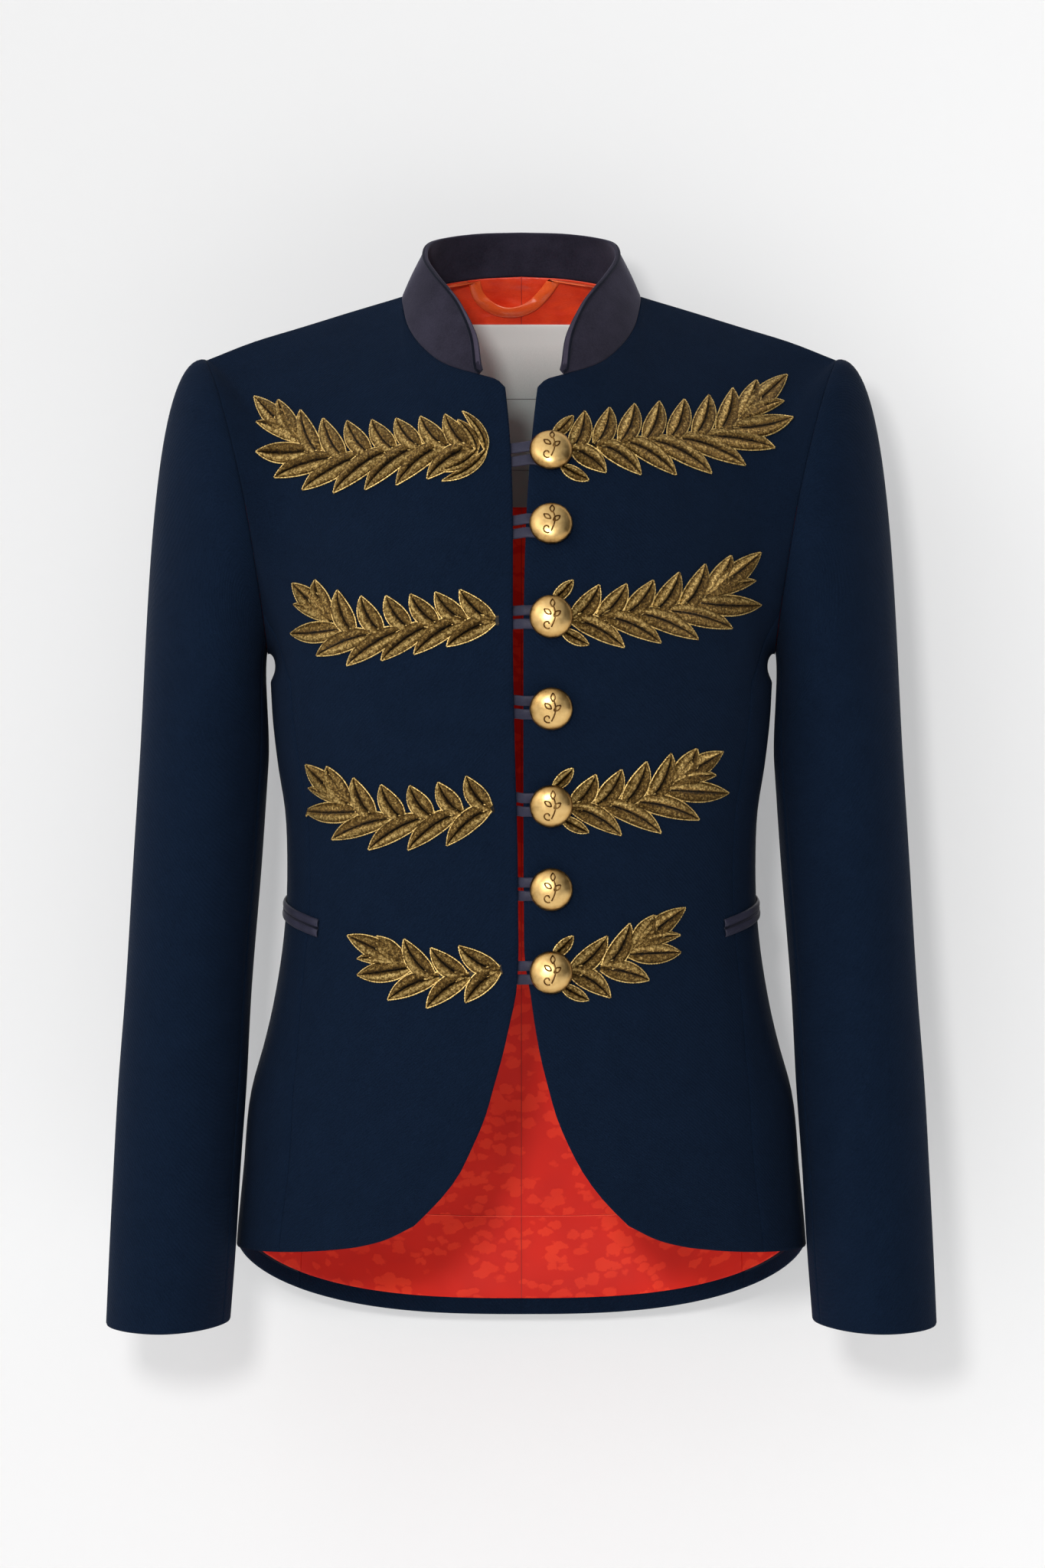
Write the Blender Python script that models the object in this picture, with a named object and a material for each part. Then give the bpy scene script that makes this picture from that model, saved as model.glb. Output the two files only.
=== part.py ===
"""Fitted navy blazer with a suede stand collar, gold laurel sprays and looped brass buttons, filled out and hollow.

Sizes are in millimetres and become metres where a mesh is made. Z is up, the front faces -Y, and the wearer's
left is +X. The origin is level with the neck points, midway between them. A place on the front is given as
(across, height) in the elevation that a viewer sees, and a ray from that viewer finds it on the cloth.
"""

import math

import bmesh
import bpy
import numpy as np
from mathutils import Vector
from mathutils.bvhtree import BVHTree
from mathutils.geometry import delaunay_2d_cdt

MM = 0.001

# Cloth
BODY_WALL = 1.8
SLEEVE_WALL = 1.6
COLLAR_WALL = 2.2
LINING_WALL = 1.0
SEAM_GAP = 0.4
REST_GAP = 0.4

# The viewer's eye, level with the middle of the garment
EYE = (0.7, -3300.0, -302.0)

# Torso: a ring at each height, with half width, depth to the front and depth to the back
FRONT_ROUNDNESS, BACK_ROUNDNESS = 2.3, 2.7
TORSO = (
    # height, half width, front, back
    (-650, 177.5, 113, 118),
    (-586, 175.8, 113, 116),
    (-540, 171.6, 111, 112),
    (-489, 166.3, 108, 106),
    (-460, 158.2, 106, 100),
    (-432, 152.0, 104, 94),
    (-390, 146.0, 102, 86),
    (-347, 144.5, 103, 82),
    (-319, 145.7, 107, 84),
    (-290, 150.2, 113, 90),
    (-262, 153.4, 119, 96),
    (-240, 154.6, 123, 101),
)
CHEST = -240

# Front edges: distance from the middle of the front, on each side of the opening
FRONT_EDGE = (
    # height, right, left
    (-566, 64.6, 64.6),
    (-556, 54.0, 54.0),
    (-538, 39.0, 39.4),
    (-520, 29.8, 29.3),
    (-502, 22.0, 21.5),
    (-483, 16.5, 16.0),
    (-465, 11.4, 11.5),
    (-447, 7.3, 8.2),
    (-428, 3.2, 5.5),
    (-410, 1.9, 2.4),
    (-378, 1.9, 1.5),
    (-343, 2.2, 1.3),
    (-284, 3.8, 1.2),
    (-240, 4.7, 1.2),
)
# The hem of the fronts, outward from the foot of the front edge
FRONT_HEM = (
    # distance from the middle, height
    (64, -566.0),
    (82, -575.0),
    (96, -579.0),
    (119, -582.5),
    (148, -585.0),
    (176, -586.0),
)
SIDE_HEM = -586
BACK_HEM_DROP = 55
BACK_HEM_CURVE = 1.5

# Side-panel seams, as a share of the half width
PANEL_SEAM = (
    # height, seam with the front, seam with the back
    (-650, 0.835, 0.80),
    (-586, 0.835, 0.80),
    (-500, 0.825, 0.78),
    (-432, 0.880, 0.76),
    (-347, 0.890, 0.76),
    (-240, 0.905, 0.88),
)

# Neck seam and the collar's upper edge, from the collar's front end round to the middle of the back
COLLAR = (
    # station, seam across, seam deep, seam high, edge across, edge deep, edge high
    (0, 25.9, -73.0, -54.1, 24.3, -73.8, -51.2),
    (1, 40.8, -65.0, -49.4, 26.4, -64.0, -32.9),
    (2, 51.1, -56.0, -44.0, 30.2, -58.0, -22.4),
    (3, 61.6, -42.0, -34.0, 37.8, -46.0, -7.7),
    (4, 69.0, -27.0, -22.8, 44.9, -36.0, 2.1),
    (5, 72.6, -12.0, -11.2, 52.1, -24.0, 11.3),
    (6, 73.6, 5.0, 0.0, 59.0, -5.0, 23.4),
    (7, 66.0, 28.0, 6.5, 57.5, 16.0, 34.0),
    (8, 50.0, 47.0, 12.0, 47.0, 36.0, 39.5),
    (9, 27.0, 59.0, 16.4, 26.0, 49.0, 43.3),
    (10, 0.0, 62.5, 18.0, 0.0, 53.0, 44.4),
)
NECK_POINT, COLLAR_BACK = 6, 10
THROAT = (10.4, -77.0, -58.5)

SHOULDER = (
    # share of the seam, across, deep, high
    (0.00, 73.6, 5.0, 0.0),
    (0.25, 104.5, 7.0, -9.0),
    (0.50, 136.0, 8.5, -18.6),
    (0.75, 167.0, 9.5, -28.0),
    (1.00, 195.0, 10.0, -39.0),
)
ARMHOLE = (
    # turn from the shoulder point by the front (-) or back (+), across, deep, high
    (-180, 156.6, 0.0, -222.0),
    (-155, 156.6, -26.0, -213.0),
    (-130, 158.2, -44.0, -195.0),
    (-110, 161.0, -53.0, -174.0),
    (-90, 164.6, -57.0, -150.0),
    (-70, 170.0, -54.0, -121.0),
    (-47, 178.2, -42.0, -87.0),
    (-24, 187.5, -20.0, -56.0),
    (0, 195.0, 10.0, -39.0),
    (24, 188.0, 36.0, -55.0),
    (47, 179.5, 53.0, -86.0),
    (70, 172.0, 60.0, -121.0),
    (90, 166.6, 60.0, -150.0),
    (110, 162.4, 54.0, -175.0),
    (130, 158.8, 43.0, -196.0),
    (155, 156.8, 24.0, -213.0),
    (180, 156.6, 0.0, -222.0),
)
ARM_TURNS = tuple(row[0] for row in ARMHOLE)
SEAM_TURN = 130

# How the cloth runs where it reaches the top edge of the front and back: neck, shoulder seam, armhole
TOP_RUN = (
    # share of the panel, across, deep (towards the seam), high
    (0.00, 0.00, 0.42, 0.90),
    (0.36, 0.00, 0.80, 0.60),
    (0.46, 0.20, 0.80, 0.56),
    (0.57, 0.60, 0.58, 0.52),
    (0.72, 0.74, 0.26, 0.60),
    (0.88, 0.52, 0.20, 0.82),
    (1.00, 0.30, 0.16, 0.94),
)
COLLAR_SHARE, NECK_SHARE, SHOULDER_SHARE = 0.09, 0.36, 0.57
THROAT_RUN = 0.13  # how far the front edges run outward at the throat

# Sleeve below the armpit: a level ring at each height
ARM = (
    # height, across, deep, half width, half depth
    (-640, 216.0, -42.0, 37.6, 43.0),
    (-585, 213.2, -33.0, 38.6, 44.5),
    (-537, 211.0, -25.5, 38.9, 46.0),
    (-489, 208.4, -17.5, 39.4, 48.0),
    (-432, 205.2, -9.0, 38.8, 50.5),
    (-347, 199.8, 1.0, 39.7, 54.5),
    (-290, 196.2, 3.0, 39.8, 57.5),
)
ARM_TOP = -290
CUFF = (
    # turn, height
    (0, -631),
    (90, -633.5),
    (180, -629),
    (270, -630),
    (360, -631),
)
UNDER_SLEEVE = (155, 250)

# Rows and columns of the solids
NECK_CELLS, SHOULDER_CELLS, LOWER_ROWS, UPPER_ROWS = 4, 3, 8, 7
SLEEVE_ROWS, HEAD_ROWS, COLLAR_ROWS = 8, 7, 3
EVENING_ROUNDS = 3

# Sprays, by places (across, height) in the elevation. Feet are spaced along the stalk, tips along the two lines of tips
SPRAYS = {
    # name: (stalk, line of the upper tips, line of the lower tips, tip of the end leaf, leaves above and below)
    "laurel_right_1": (
        ((-22, -96), (-52, -93.5), (-85, -97), (-117, -100.5), (-131, -96), (-139.5, -88.5)),
        ((-47, -74), (-84, -77), (-120, -77), (-150, -65)),
        ((-58, -114), (-92, -120), (-126, -122), (-150, -115), (-164, -97)),
        (-165, -63), 8, 7,
    ),
    "laurel_right_2": (
        ((-14, -201), (-40, -201.5), (-64, -205), (-85, -208.5), (-100, -209), (-112, -206), (-120, -199)),
        ((-38, -182), (-72.5, -185), (-105, -185), (-127, -176)),
        ((-46, -217), (-82, -225), (-117, -227.5), (-142, -209)),
        (-141, -178), 7, 6,
    ),
    "laurel_right_3": (
        ((-17, -316.5), (-41.5, -320), (-60.5, -322.5), (-82.5, -323), (-97, -320.5), (-108, -313)),
        ((-34, -297), (-63.5, -302.5), (-94, -301), (-119.5, -291)),
        ((-46, -340), (-80, -343), (-114, -338), (-133, -318.5)),
        (-132.5, -290), 6, 5,
    ),
    "laurel_right_4": (
        ((-12, -416.5), (-27, -420), (-45, -421), (-60, -419.5), (-74, -412)),
        ((-38.6, -402), (-57, -403), (-71, -398), (-89.4, -396)),
        ((-34.5, -437), (-55, -440.5), (-83, -435), (-101, -420)),
        (-107, -395.5), 4, 4,
    ),
    "laurel_left_1": (
        ((28.2, -96.5), (45, -93), (62, -91), (83, -90), (99, -88.5), (116, -87), (128, -82), (136, -75)),
        ((39, -72), (75, -67), (112, -63), (145, -53)),
        ((52, -110), (89, -111.5), (129.5, -108), (154, -97), (168, -76)),
        (164, -49.6), 8, 7,
    ),
    "laurel_left_2": (
        ((28.2, -200.5), (45, -199), (61, -197), (76, -196), (90, -195), (104, -191.5), (115, -185)),
        ((48, -179), (75, -177.5), (103, -169.5), (129, -161)),
        ((63.4, -217.6), (90.5, -214.2), (124, -209), (147.5, -191.4)),
        (147.5, -159), 6, 5,
    ),
    "laurel_left_3": (
        ((28.2, -316.5), (42, -315), (55, -314), (70.5, -313), (83, -309), (94, -301)),
        ((46, -296), (68, -291.3), (86.5, -284.5), (108, -280)),
        ((61.5, -333.6), (84.4, -332.5), (114, -321), (127.4, -307.4)),
        (124, -282), 5, 4,
    ),
    "laurel_left_4": (
        ((28.2, -418.5), (36, -417), (43, -416), (55, -414.5), (63, -410), (69, -404)),
        ((53, -396), (62, -390.5), (71.5, -386), (82, -383)),
        ((55, -434), (72, -427), (86.5, -417.5), (98, -406)),
        (101, -378.5), 3, 3,
    ),
}
# Leaves that start under a button, round the arc that joins them
ARC_RADIUS, ARC_WIDTH = 10.3, 2.0
ARC_LEAVES = (
    # turn of the foot round the button, heading, length
    (82, 40, 17.5),
    (-50, -34, 19.0),
)
ARC_LEAF_WIDTH = 7.5
LEAF_OUTLINE = (
    # share of the length, share of the half width
    (0.00, 0.22),
    (0.32, 0.96),
    (0.68, 0.90),
    (1.00, 0.00),
)
LEAF_WIDTH = 12.8
LEAF_BEND = 0.5
SMALL_LEAF = (-0.37, 0.74, 0.66)  # turn from the end leaf, share of its length, share of the width
LOWEST_TURN = 0.75
CLOSED_END = (
    # turn from the stalk, length, bend, distance from the stalk's start
    (88, 27.7, -0.55, 0.0),
    (-64, 33.0, 0.55, 0.0),
)
CLOSED_SPRAY, CLOSED_WIDTH = "laurel_right_1", 6.2
LEAF_EDGE, LEAF_RIB, LEAF_BASE = 1.7, 0.9, 0.5
STALK_WIDTH = 3.0

# Buttons and their loops, down the left front
BUTTON_ACROSS = 18.2
BUTTON_HEIGHTS = (-97.7, -142.6, -198.9, -254.7, -314.8, -367.0, -418.6)
BUTTON_RADIUS = 12.9
BUTTON_PROFILE = (
    # radius, height above the button's back
    (12.9, 1.6),
    (11.2, 4.2),
    (8.0, 6.1),
    (4.1, 7.2),
)
BUTTON_BACK = 3.0
SHANK_RADIUS = 1.6
LOOP_WIDTH, LOOP_THICK = 6.3, 1.0
LOOP_GAP, LOOP_EYE = 2.0, 2.2
LOOP_TAIL = 7.0

# Pocket jets: from their front end round the side, as the torso's angle and the height
JET_RUN = (
    # degrees from the middle of the front, height
    (55, -389.5),
    (66, -385.3),
    (78, -381.2),
    (90, -377.6),
    (102, -374.8),
    (114, -372.8),
)
JET_HEIGHT, JET_THICK, JET_APART, JET_CELLS = 5.0, 1.5, 0.8, 8

LABEL_HALF_WIDTH, LABEL_TOP, LABEL_BOTTOM = 42.0, -18.0, -131.0
HEM_STRIP = 10.5
HANGER_RUN = ((-30, 10), (-27, 0), (-18, -7.5), (-6, -10), (6, -6.5), (15, 2), (21, 10))
HANGER_WIDTH, HANGER_THICK = 7.5, 1.2

MATERIALS = {
    # name: (colour, roughness, metallic)
    "navy_wool": ((0.010, 0.020, 0.052), 0.85, 0.0),
    "grey_suede": ((0.070, 0.062, 0.092), 0.90, 0.0),
    "grey_satin": ((0.085, 0.085, 0.140), 0.40, 0.0),
    "red_lining": ((0.560, 0.040, 0.020), 0.45, 0.0),
    "label_satin": ((0.520, 0.540, 0.520), 0.40, 0.0),
    "gold_thread": ((0.420, 0.270, 0.075), 0.45, 0.6),
    "satin_brass": ((0.720, 0.480, 0.200), 0.30, 1.0),
}


def unit(vector):
    return vector / np.linalg.norm(vector, axis=-1, keepdims=True)


def hermite(start, end, run_out, run_in, share):
    """Point on the cubic from start to end with these end slopes."""
    square, cube = share * share, share**3
    return (
        (2 * cube - 3 * square + 1) * start
        + (cube - 2 * square + share) * run_out
        + (3 * square - 2 * cube) * end
        + (cube - square) * run_in
    )


def smooth(table, value):
    """Row of a table at a value of its first column, on a smooth curve through the rows."""
    rows = np.asarray(table, float)
    keys, data = rows[:, 0], rows[:, 1:]
    value = min(max(value, keys[0]), keys[-1])
    slopes = np.gradient(data, keys, axis=0)
    i = min(max(int(np.searchsorted(keys, value)) - 1, 0), len(keys) - 2)
    span = keys[i + 1] - keys[i]
    return hermite(data[i], data[i + 1], slopes[i] * span, slopes[i + 1] * span, (value - keys[i]) / span)


def material(name):
    found = bpy.data.materials.get(name)
    if found:
        return found
    colour, roughness, metallic = MATERIALS[name]
    made = bpy.data.materials.new(name)
    made.use_nodes = True
    shader = made.node_tree.nodes["Principled BSDF"]
    shader.inputs["Base Color"].default_value = (*colour, 1.0)
    shader.inputs["Roughness"].default_value = roughness
    shader.inputs["Metallic"].default_value = metallic
    made.diffuse_color = (*colour, 1.0)
    return made


def solid(name, points, faces, surface, place=None):
    """Object from points in millimetres and its closed faces, turned to face out."""
    mesh = bpy.data.meshes.new(name)
    mesh.from_pydata([tuple(point) for point in np.asarray(points) * MM], [], [tuple(face) for face in faces])
    work = bmesh.new()
    work.from_mesh(mesh)
    bmesh.ops.triangulate(work, faces=work.faces)
    bmesh.ops.recalc_face_normals(work, faces=work.faces)
    if work.calc_volume(signed=True) < 0:
        bmesh.ops.reverse_faces(work, faces=work.faces)
    work.to_mesh(mesh)
    work.free()
    mesh.materials.append(material(surface))
    made = bpy.data.objects.new(name, mesh)
    bpy.context.scene.collection.objects.link(made)
    made.parent = bpy.data.objects["blazer"]
    if place is not None:
        made.matrix_world = place
    return made


def grid_triangles(rows, columns, turned_from=None):
    """Triangles of a grid of points. From the column turned_from on, its cells are cut by the other diagonal."""
    triangles = []
    for r in range(rows - 1):
        for c in range(columns - 1):
            a, b = r * columns + c, r * columns + c + 1
            d, e = a + columns, b + columns
            if turned_from is not None and c >= turned_from:
                triangles += [(a, b, d), (b, e, d)]
            else:
                triangles += [(a, b, e), (a, e, d)]
    return triangles


def wall_faces(rows, columns, turned_from=None):
    """Triangles of a sheet with two sides and a rim, its outer points first."""
    count = rows * columns
    faces = grid_triangles(rows, columns, turned_from)
    faces += [(i + count, k + count, j + count) for i, j, k in faces]
    rim = [c for c in range(columns)]
    rim += [r * columns + columns - 1 for r in range(1, rows)]
    rim += [(rows - 1) * columns + c for c in range(columns - 2, -1, -1)]
    rim += [r * columns for r in range(rows - 2, 0, -1)]
    for i, a in enumerate(rim):
        b = rim[(i + 1) % len(rim)]
        faces += [(b, a, a + count), (b, a + count, b + count)]
    return faces


def edge_shift(edge, neighbour):
    """Unit direction square to an edge's run, towards the neighbouring line of points."""
    run = unit(np.gradient(edge, axis=0))
    inward = neighbour - edge
    return unit(inward - run * np.sum(inward * run, axis=-1, keepdims=True))


def pulled_in(points, inset):
    """Grid of points with each edge moved inward by inset: (first row, last row, first column, last column)."""
    moved = points.copy()
    first_row, last_row, first_column, last_column = inset
    moved[0] += edge_shift(points[0], points[1]) * first_row
    moved[-1] += edge_shift(points[-1], points[-2]) * last_row
    moved[:, 0] += edge_shift(points[:, 0], points[:, 1]) * first_column
    moved[:, -1] += edge_shift(points[:, -1], points[:, -2]) * last_column
    return moved


def sheet(name, points, normals, near, thick, surface, inset=(0, 0, 0, 0), turned_from=None):
    """Cloth solid between two depths under a grid of points, measured against its normals."""
    points = pulled_in(points, inset)
    outer, inner = points - normals * near, points - normals * (near + thick)
    both = np.concatenate([outer.reshape(-1, 3), inner.reshape(-1, 3)])
    return solid(name, both, wall_faces(*points.shape[:2], turned_from), surface)


def grid_normals(points):
    """Unit normals of a grid of points, from its own rows and columns."""
    along = np.gradient(points, axis=1)
    down = np.gradient(points, axis=0)
    return unit(np.cross(along, down))


# Torso

def ring(turn, height):
    """Point of the torso at an angle from the middle of the front to the middle of the back, on the left side."""
    half, front, back = smooth(TORSO, height)
    away = math.cos(turn)
    power = 2 / (FRONT_ROUNDNESS if away > 0 else BACK_ROUNDNESS)
    depth = math.copysign(abs(away) ** power, -away) * (front if away > 0 else back)
    return np.array([half * max(math.sin(turn), 0.0) ** power, depth, height])


def turn_of(across, height):
    """Angle at which a ring lies this far from the middle."""
    half = smooth(TORSO, height)[0]
    return math.asin(min(across / half, 1.0) ** (FRONT_ROUNDNESS / 2))


def seam_turn(height, which):
    share = smooth(PANEL_SEAM, height)[which]
    turn = math.asin(share ** ((FRONT_ROUNDNESS, BACK_ROUNDNESS)[which] / 2))
    return turn if which == 0 else math.pi - turn


def column_turn(panel, side, share, height):
    """Angle of a column of a panel at a height. The share runs from the panel's front edge to its back edge."""
    if panel == "front":
        edge = turn_of(smooth(FRONT_EDGE, height)[0 if side < 0 else 1], height)
        return edge + (seam_turn(height, 0) - edge) * share
    if panel == "side":
        return seam_turn(height, 0) + (seam_turn(height, 1) - seam_turn(height, 0)) * share
    return seam_turn(height, 1) + (math.pi - seam_turn(height, 1)) * share


def hem_height(panel, side, share):
    height = -580.0
    for _ in range(8):
        turn = column_turn(panel, side, share, height)
        point = ring(turn, height)
        if turn < math.pi / 2:
            height = float(smooth(FRONT_HEM, point[0])[0])
        else:
            height = SIDE_HEM - BACK_HEM_DROP * abs(math.cos(turn)) ** (BACK_HEM_CURVE * 2 / BACK_ROUNDNESS)
    return height


def lower_column(panel, side, share):
    """Points of a column from the hem up to the chest ring."""
    heights = np.linspace(hem_height(panel, side, share), CHEST, LOWER_ROWS + 1)
    return [ring(column_turn(panel, side, share, height), height) for height in heights]


def collar_seam(station):
    return smooth(COLLAR, station)[:3]


def top_point(panel, share):
    """Point of a panel's top edge: neck seam, shoulder seam, then armhole."""
    if panel == "side":
        turn = -SEAM_TURN + (SEAM_TURN * 2 - 360) * share
        return smooth(ARMHOLE, turn if turn >= -180 else turn + 360)
    if share < COLLAR_SHARE and panel == "front":
        blend = share / COLLAR_SHARE
        return np.array(THROAT) * (1 - blend) + collar_seam(0) * blend
    if share <= NECK_SHARE:
        low = COLLAR_SHARE if panel == "front" else 0.0
        along = (share - low) / (NECK_SHARE - low)
        if panel == "front":
            return collar_seam(NECK_POINT * along)
        return collar_seam(COLLAR_BACK + (NECK_POINT - COLLAR_BACK) * along)
    if share <= SHOULDER_SHARE:
        return smooth(SHOULDER, (share - NECK_SHARE) / (SHOULDER_SHARE - NECK_SHARE))
    turn = SEAM_TURN * (share - SHOULDER_SHARE) / (1 - SHOULDER_SHARE)
    return smooth(ARMHOLE, -turn if panel == "front" else turn)


def top_run(panel, share):
    """Direction of the cloth across the top edge."""
    if panel == "side":
        away = math.cos(math.pi * share)
        edge = smooth(TOP_RUN, 1.0)
        return unit(np.array([edge[0] * abs(away), edge[1] * away, edge[2]]))
    across, deep, high = smooth(TOP_RUN, share)
    if panel == "back":
        return unit(np.array([across, -deep, high]))
    return unit(np.array([across + THROAT_RUN * max(1 - share / NECK_SHARE, 0.0), deep, high]))


def upper_column(panel, side, share):
    """Points of a column above the chest ring, up to the top edge."""
    from_edge = 1 - share if panel == "back" else share
    below, start = (ring(column_turn(panel, side, share, height), height) for height in (CHEST - 6, CHEST))
    end = top_point(panel, from_edge)
    length = np.linalg.norm(end - start)
    rise = (start - below) / 6 * length
    run = top_run(panel, from_edge) * length
    steps = np.linspace(0, 1, UPPER_ROWS + 1)[1:]
    return [hermite(start, end, rise, run, step) for step in steps]


def column_shares(panel):
    """Shares of a panel's columns, from its front edge to its back edge."""
    if panel == "side":
        turns = [turn for turn in ARM_TURNS if turn <= -SEAM_TURN]
        first = [(-SEAM_TURN - turn) / (360 - 2 * SEAM_TURN) for turn in turns[::-1]]
        return first + [1 - share for share in first[-2::-1]]
    low = [COLLAR_SHARE] if panel == "front" else []
    neck = list(np.linspace(low[0] if low else 0.0, NECK_SHARE, NECK_CELLS + 1))
    shoulder = list(np.linspace(NECK_SHARE, SHOULDER_SHARE, SHOULDER_CELLS + 1)[1:])
    turns = [abs(turn) for turn in ARM_TURNS if -SEAM_TURN <= turn < 0][::-1]
    arm = [SHOULDER_SHARE + (1 - SHOULDER_SHARE) * turn / SEAM_TURN for turn in turns]
    shares = ([0.0] if low else []) + neck + shoulder + arm
    return shares if panel == "front" else [1 - share for share in shares[::-1]]


def mirrored(points, side):
    """Points on the wearer's left (side 1) or right (side -1)."""
    return points * np.array([side, 1, 1])


def torso_grids(side):
    """Outer points and wall normals of each panel on one side, as grids with rows from hem to top."""
    names = ("front", "side", "back")
    grids = {}
    for panel in names:
        columns = [lower_column(panel, side, share) + upper_column(panel, side, share) for share in column_shares(panel)]
        grids[panel] = np.array(columns).transpose(1, 0, 2)
    joined = np.concatenate([grids["front"], grids["side"][:, 1:], grids["back"][:, 1:]], axis=1)
    even_out(joined[LOWER_ROWS:])
    normals = grid_normals(joined)
    normals[:, -1, 0] = 0
    fit_top_normals(joined, normals, grids)
    normals = unit(normals)
    ends = np.cumsum([0] + [grids[name].shape[1] - 1 for name in names])
    return {
        name: (mirrored(joined[:, a : b + 1], side), mirrored(normals[:, a : b + 1], side))
        for name, a, b in zip(names, ends[:-1], ends[1:])
    }


def even_out(points):
    """Evens the rows of a grid sideways, in place, most in the middle rows and not at all at its border."""
    weight = 0.5 * np.sin(np.linspace(0, math.pi, len(points)))[:, None, None] ** 2
    for _ in range(EVENING_ROUNDS):
        points[:, 1:-1] += weight * ((points[:, :-2] + points[:, 2:]) / 2 - points[:, 1:-1])


def fit_top_normals(joined, normals, grids):
    """Top row's normals, shared by the two pieces that meet there."""
    wide = joined.shape[1]
    first_neck = NECK_CELLS + 1
    shoulder = first_neck + SHOULDER_CELLS
    for offset in range(SHOULDER_CELLS + 1):
        front, back = first_neck + offset, wide - 1 - NECK_CELLS - offset
        shared = unit(normals[-1, front] + normals[-1, back])
        normals[-1, front] = normals[-1, back] = shared
    for column in range(wide):
        if column <= first_neck or column >= wide - 1 - NECK_CELLS:
            out = joined[-1, column] - joined[-2, column]
            lean = np.array([joined[-1, column][0] / 74, joined[-1, column][1] / 62, 0.0])
            normals[-1, column] = unit(normals[-1, column] + unit(lean) * 0.7) if column else normals[-1, column]
    for column in range(shoulder, wide - NECK_CELLS - SHOULDER_CELLS):
        normals[-1, column] = armhole_normal(joined[-1, column])


def armhole_normal(point):
    """Direction away from the middle of the armhole, in which both walls are cut at its seam."""
    return unit(np.array([0.0, point[1] - 1.0, point[2] + 135.0]))


# Sleeves

def arm_section(turn, height):
    """Point of the sleeve at a turn from its outer side by its front, at a height below the armpit."""
    across, deep, half_width, half_depth = smooth(ARM, height)
    angle = math.radians(turn)
    return np.array([across + half_width * math.cos(angle), deep - half_depth * math.sin(angle), height])


def sleeve_column(turn):
    """Points from the armhole down to the cuff. The turn goes from the outer side round by the front."""
    start = smooth(ARMHOLE, -turn if turn <= 180 else 360 - turn)
    start = start + np.array([SEAM_GAP, 0.0, 0.0])
    end = arm_section(turn, ARM_TOP)
    below = arm_section(turn, ARM_TOP - 6)
    out = (1 + math.cos(math.radians(turn))) / 2
    front = math.sin(math.radians(turn))
    run = unit(np.array([out + 0.25 * (1 - out), -0.35 * front, 0.19 * out - (1 - out)])) * (38 + 68 * out)
    fall = (below - end) / 6 * np.linalg.norm(end - start)
    head = [hermite(start, end, run, fall, step) for step in np.linspace(0, 1, HEAD_ROWS + 1)]
    foot = smooth(CUFF, turn % 360)[0]
    heights = np.linspace(ARM_TOP, foot, SLEEVE_ROWS + 1)[1:]
    return head + [arm_section(turn, height) for height in heights]


def sleeve_turns():
    return sorted(turn % 360 for turn in set(ARM_TURNS) - {-180}) + [360]


def build_sleeve(side, word):
    turns = sleeve_turns()
    wrapped = [turns[-2] - 360] + turns + [turns[1] + 360]
    points = np.array([sleeve_column(turn) for turn in wrapped]).transpose(1, 0, 2)
    normals = grid_normals(points)
    for column in range(len(wrapped)):
        normals[0, column] = armhole_normal(points[0, column])
    points, normals = mirrored(points[:, 1:-1], side), mirrored(normals[:, 1:-1], side)
    start, stop = turns.index(UNDER_SLEEVE[0]), turns.index(UNDER_SLEEVE[1])
    under = list(range(start, stop + 1))
    top = list(range(stop, len(turns) - 1)) + list(range(0, start + 1))
    for part, columns in (("top", top), ("under", under)):
        inset = (0, 0, SEAM_GAP / 2, SEAM_GAP / 2)
        sheet(f"sleeve_{part}_{word}", points[:, columns], normals[:, columns], 0, SLEEVE_WALL, "navy_wool", inset)


# Collar

def build_collar():
    stations = list(np.linspace(0, NECK_POINT, NECK_CELLS + 1))
    stations += list(np.linspace(NECK_POINT, COLLAR_BACK, NECK_CELLS + 1)[1:])
    half = []
    for station in stations:
        row = smooth(COLLAR, station)
        foot, edge = row[:3], row[3:]
        out = unit(np.array([foot[0] / 74, foot[1] / 62, 0.0]))
        bulge = 0.05 * np.linalg.norm(edge - foot)
        steps = np.linspace(0, 1, COLLAR_ROWS + 1)
        half.append([foot + (edge - foot) * step + out * bulge * math.sin(math.pi * step) for step in steps])
    half = np.array(half).transpose(1, 0, 2)
    points = np.concatenate([mirrored(half, -1), half[:, -2::-1]], axis=1)
    normals = -grid_normals(points)
    if normals[1, len(stations) - 1][1] < 0:
        normals = -normals
    sheet("collar", points, normals, 0, COLLAR_WALL, "grey_suede", (SEAM_GAP, 0, 0, 0))


# What lies on the cloth

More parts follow.
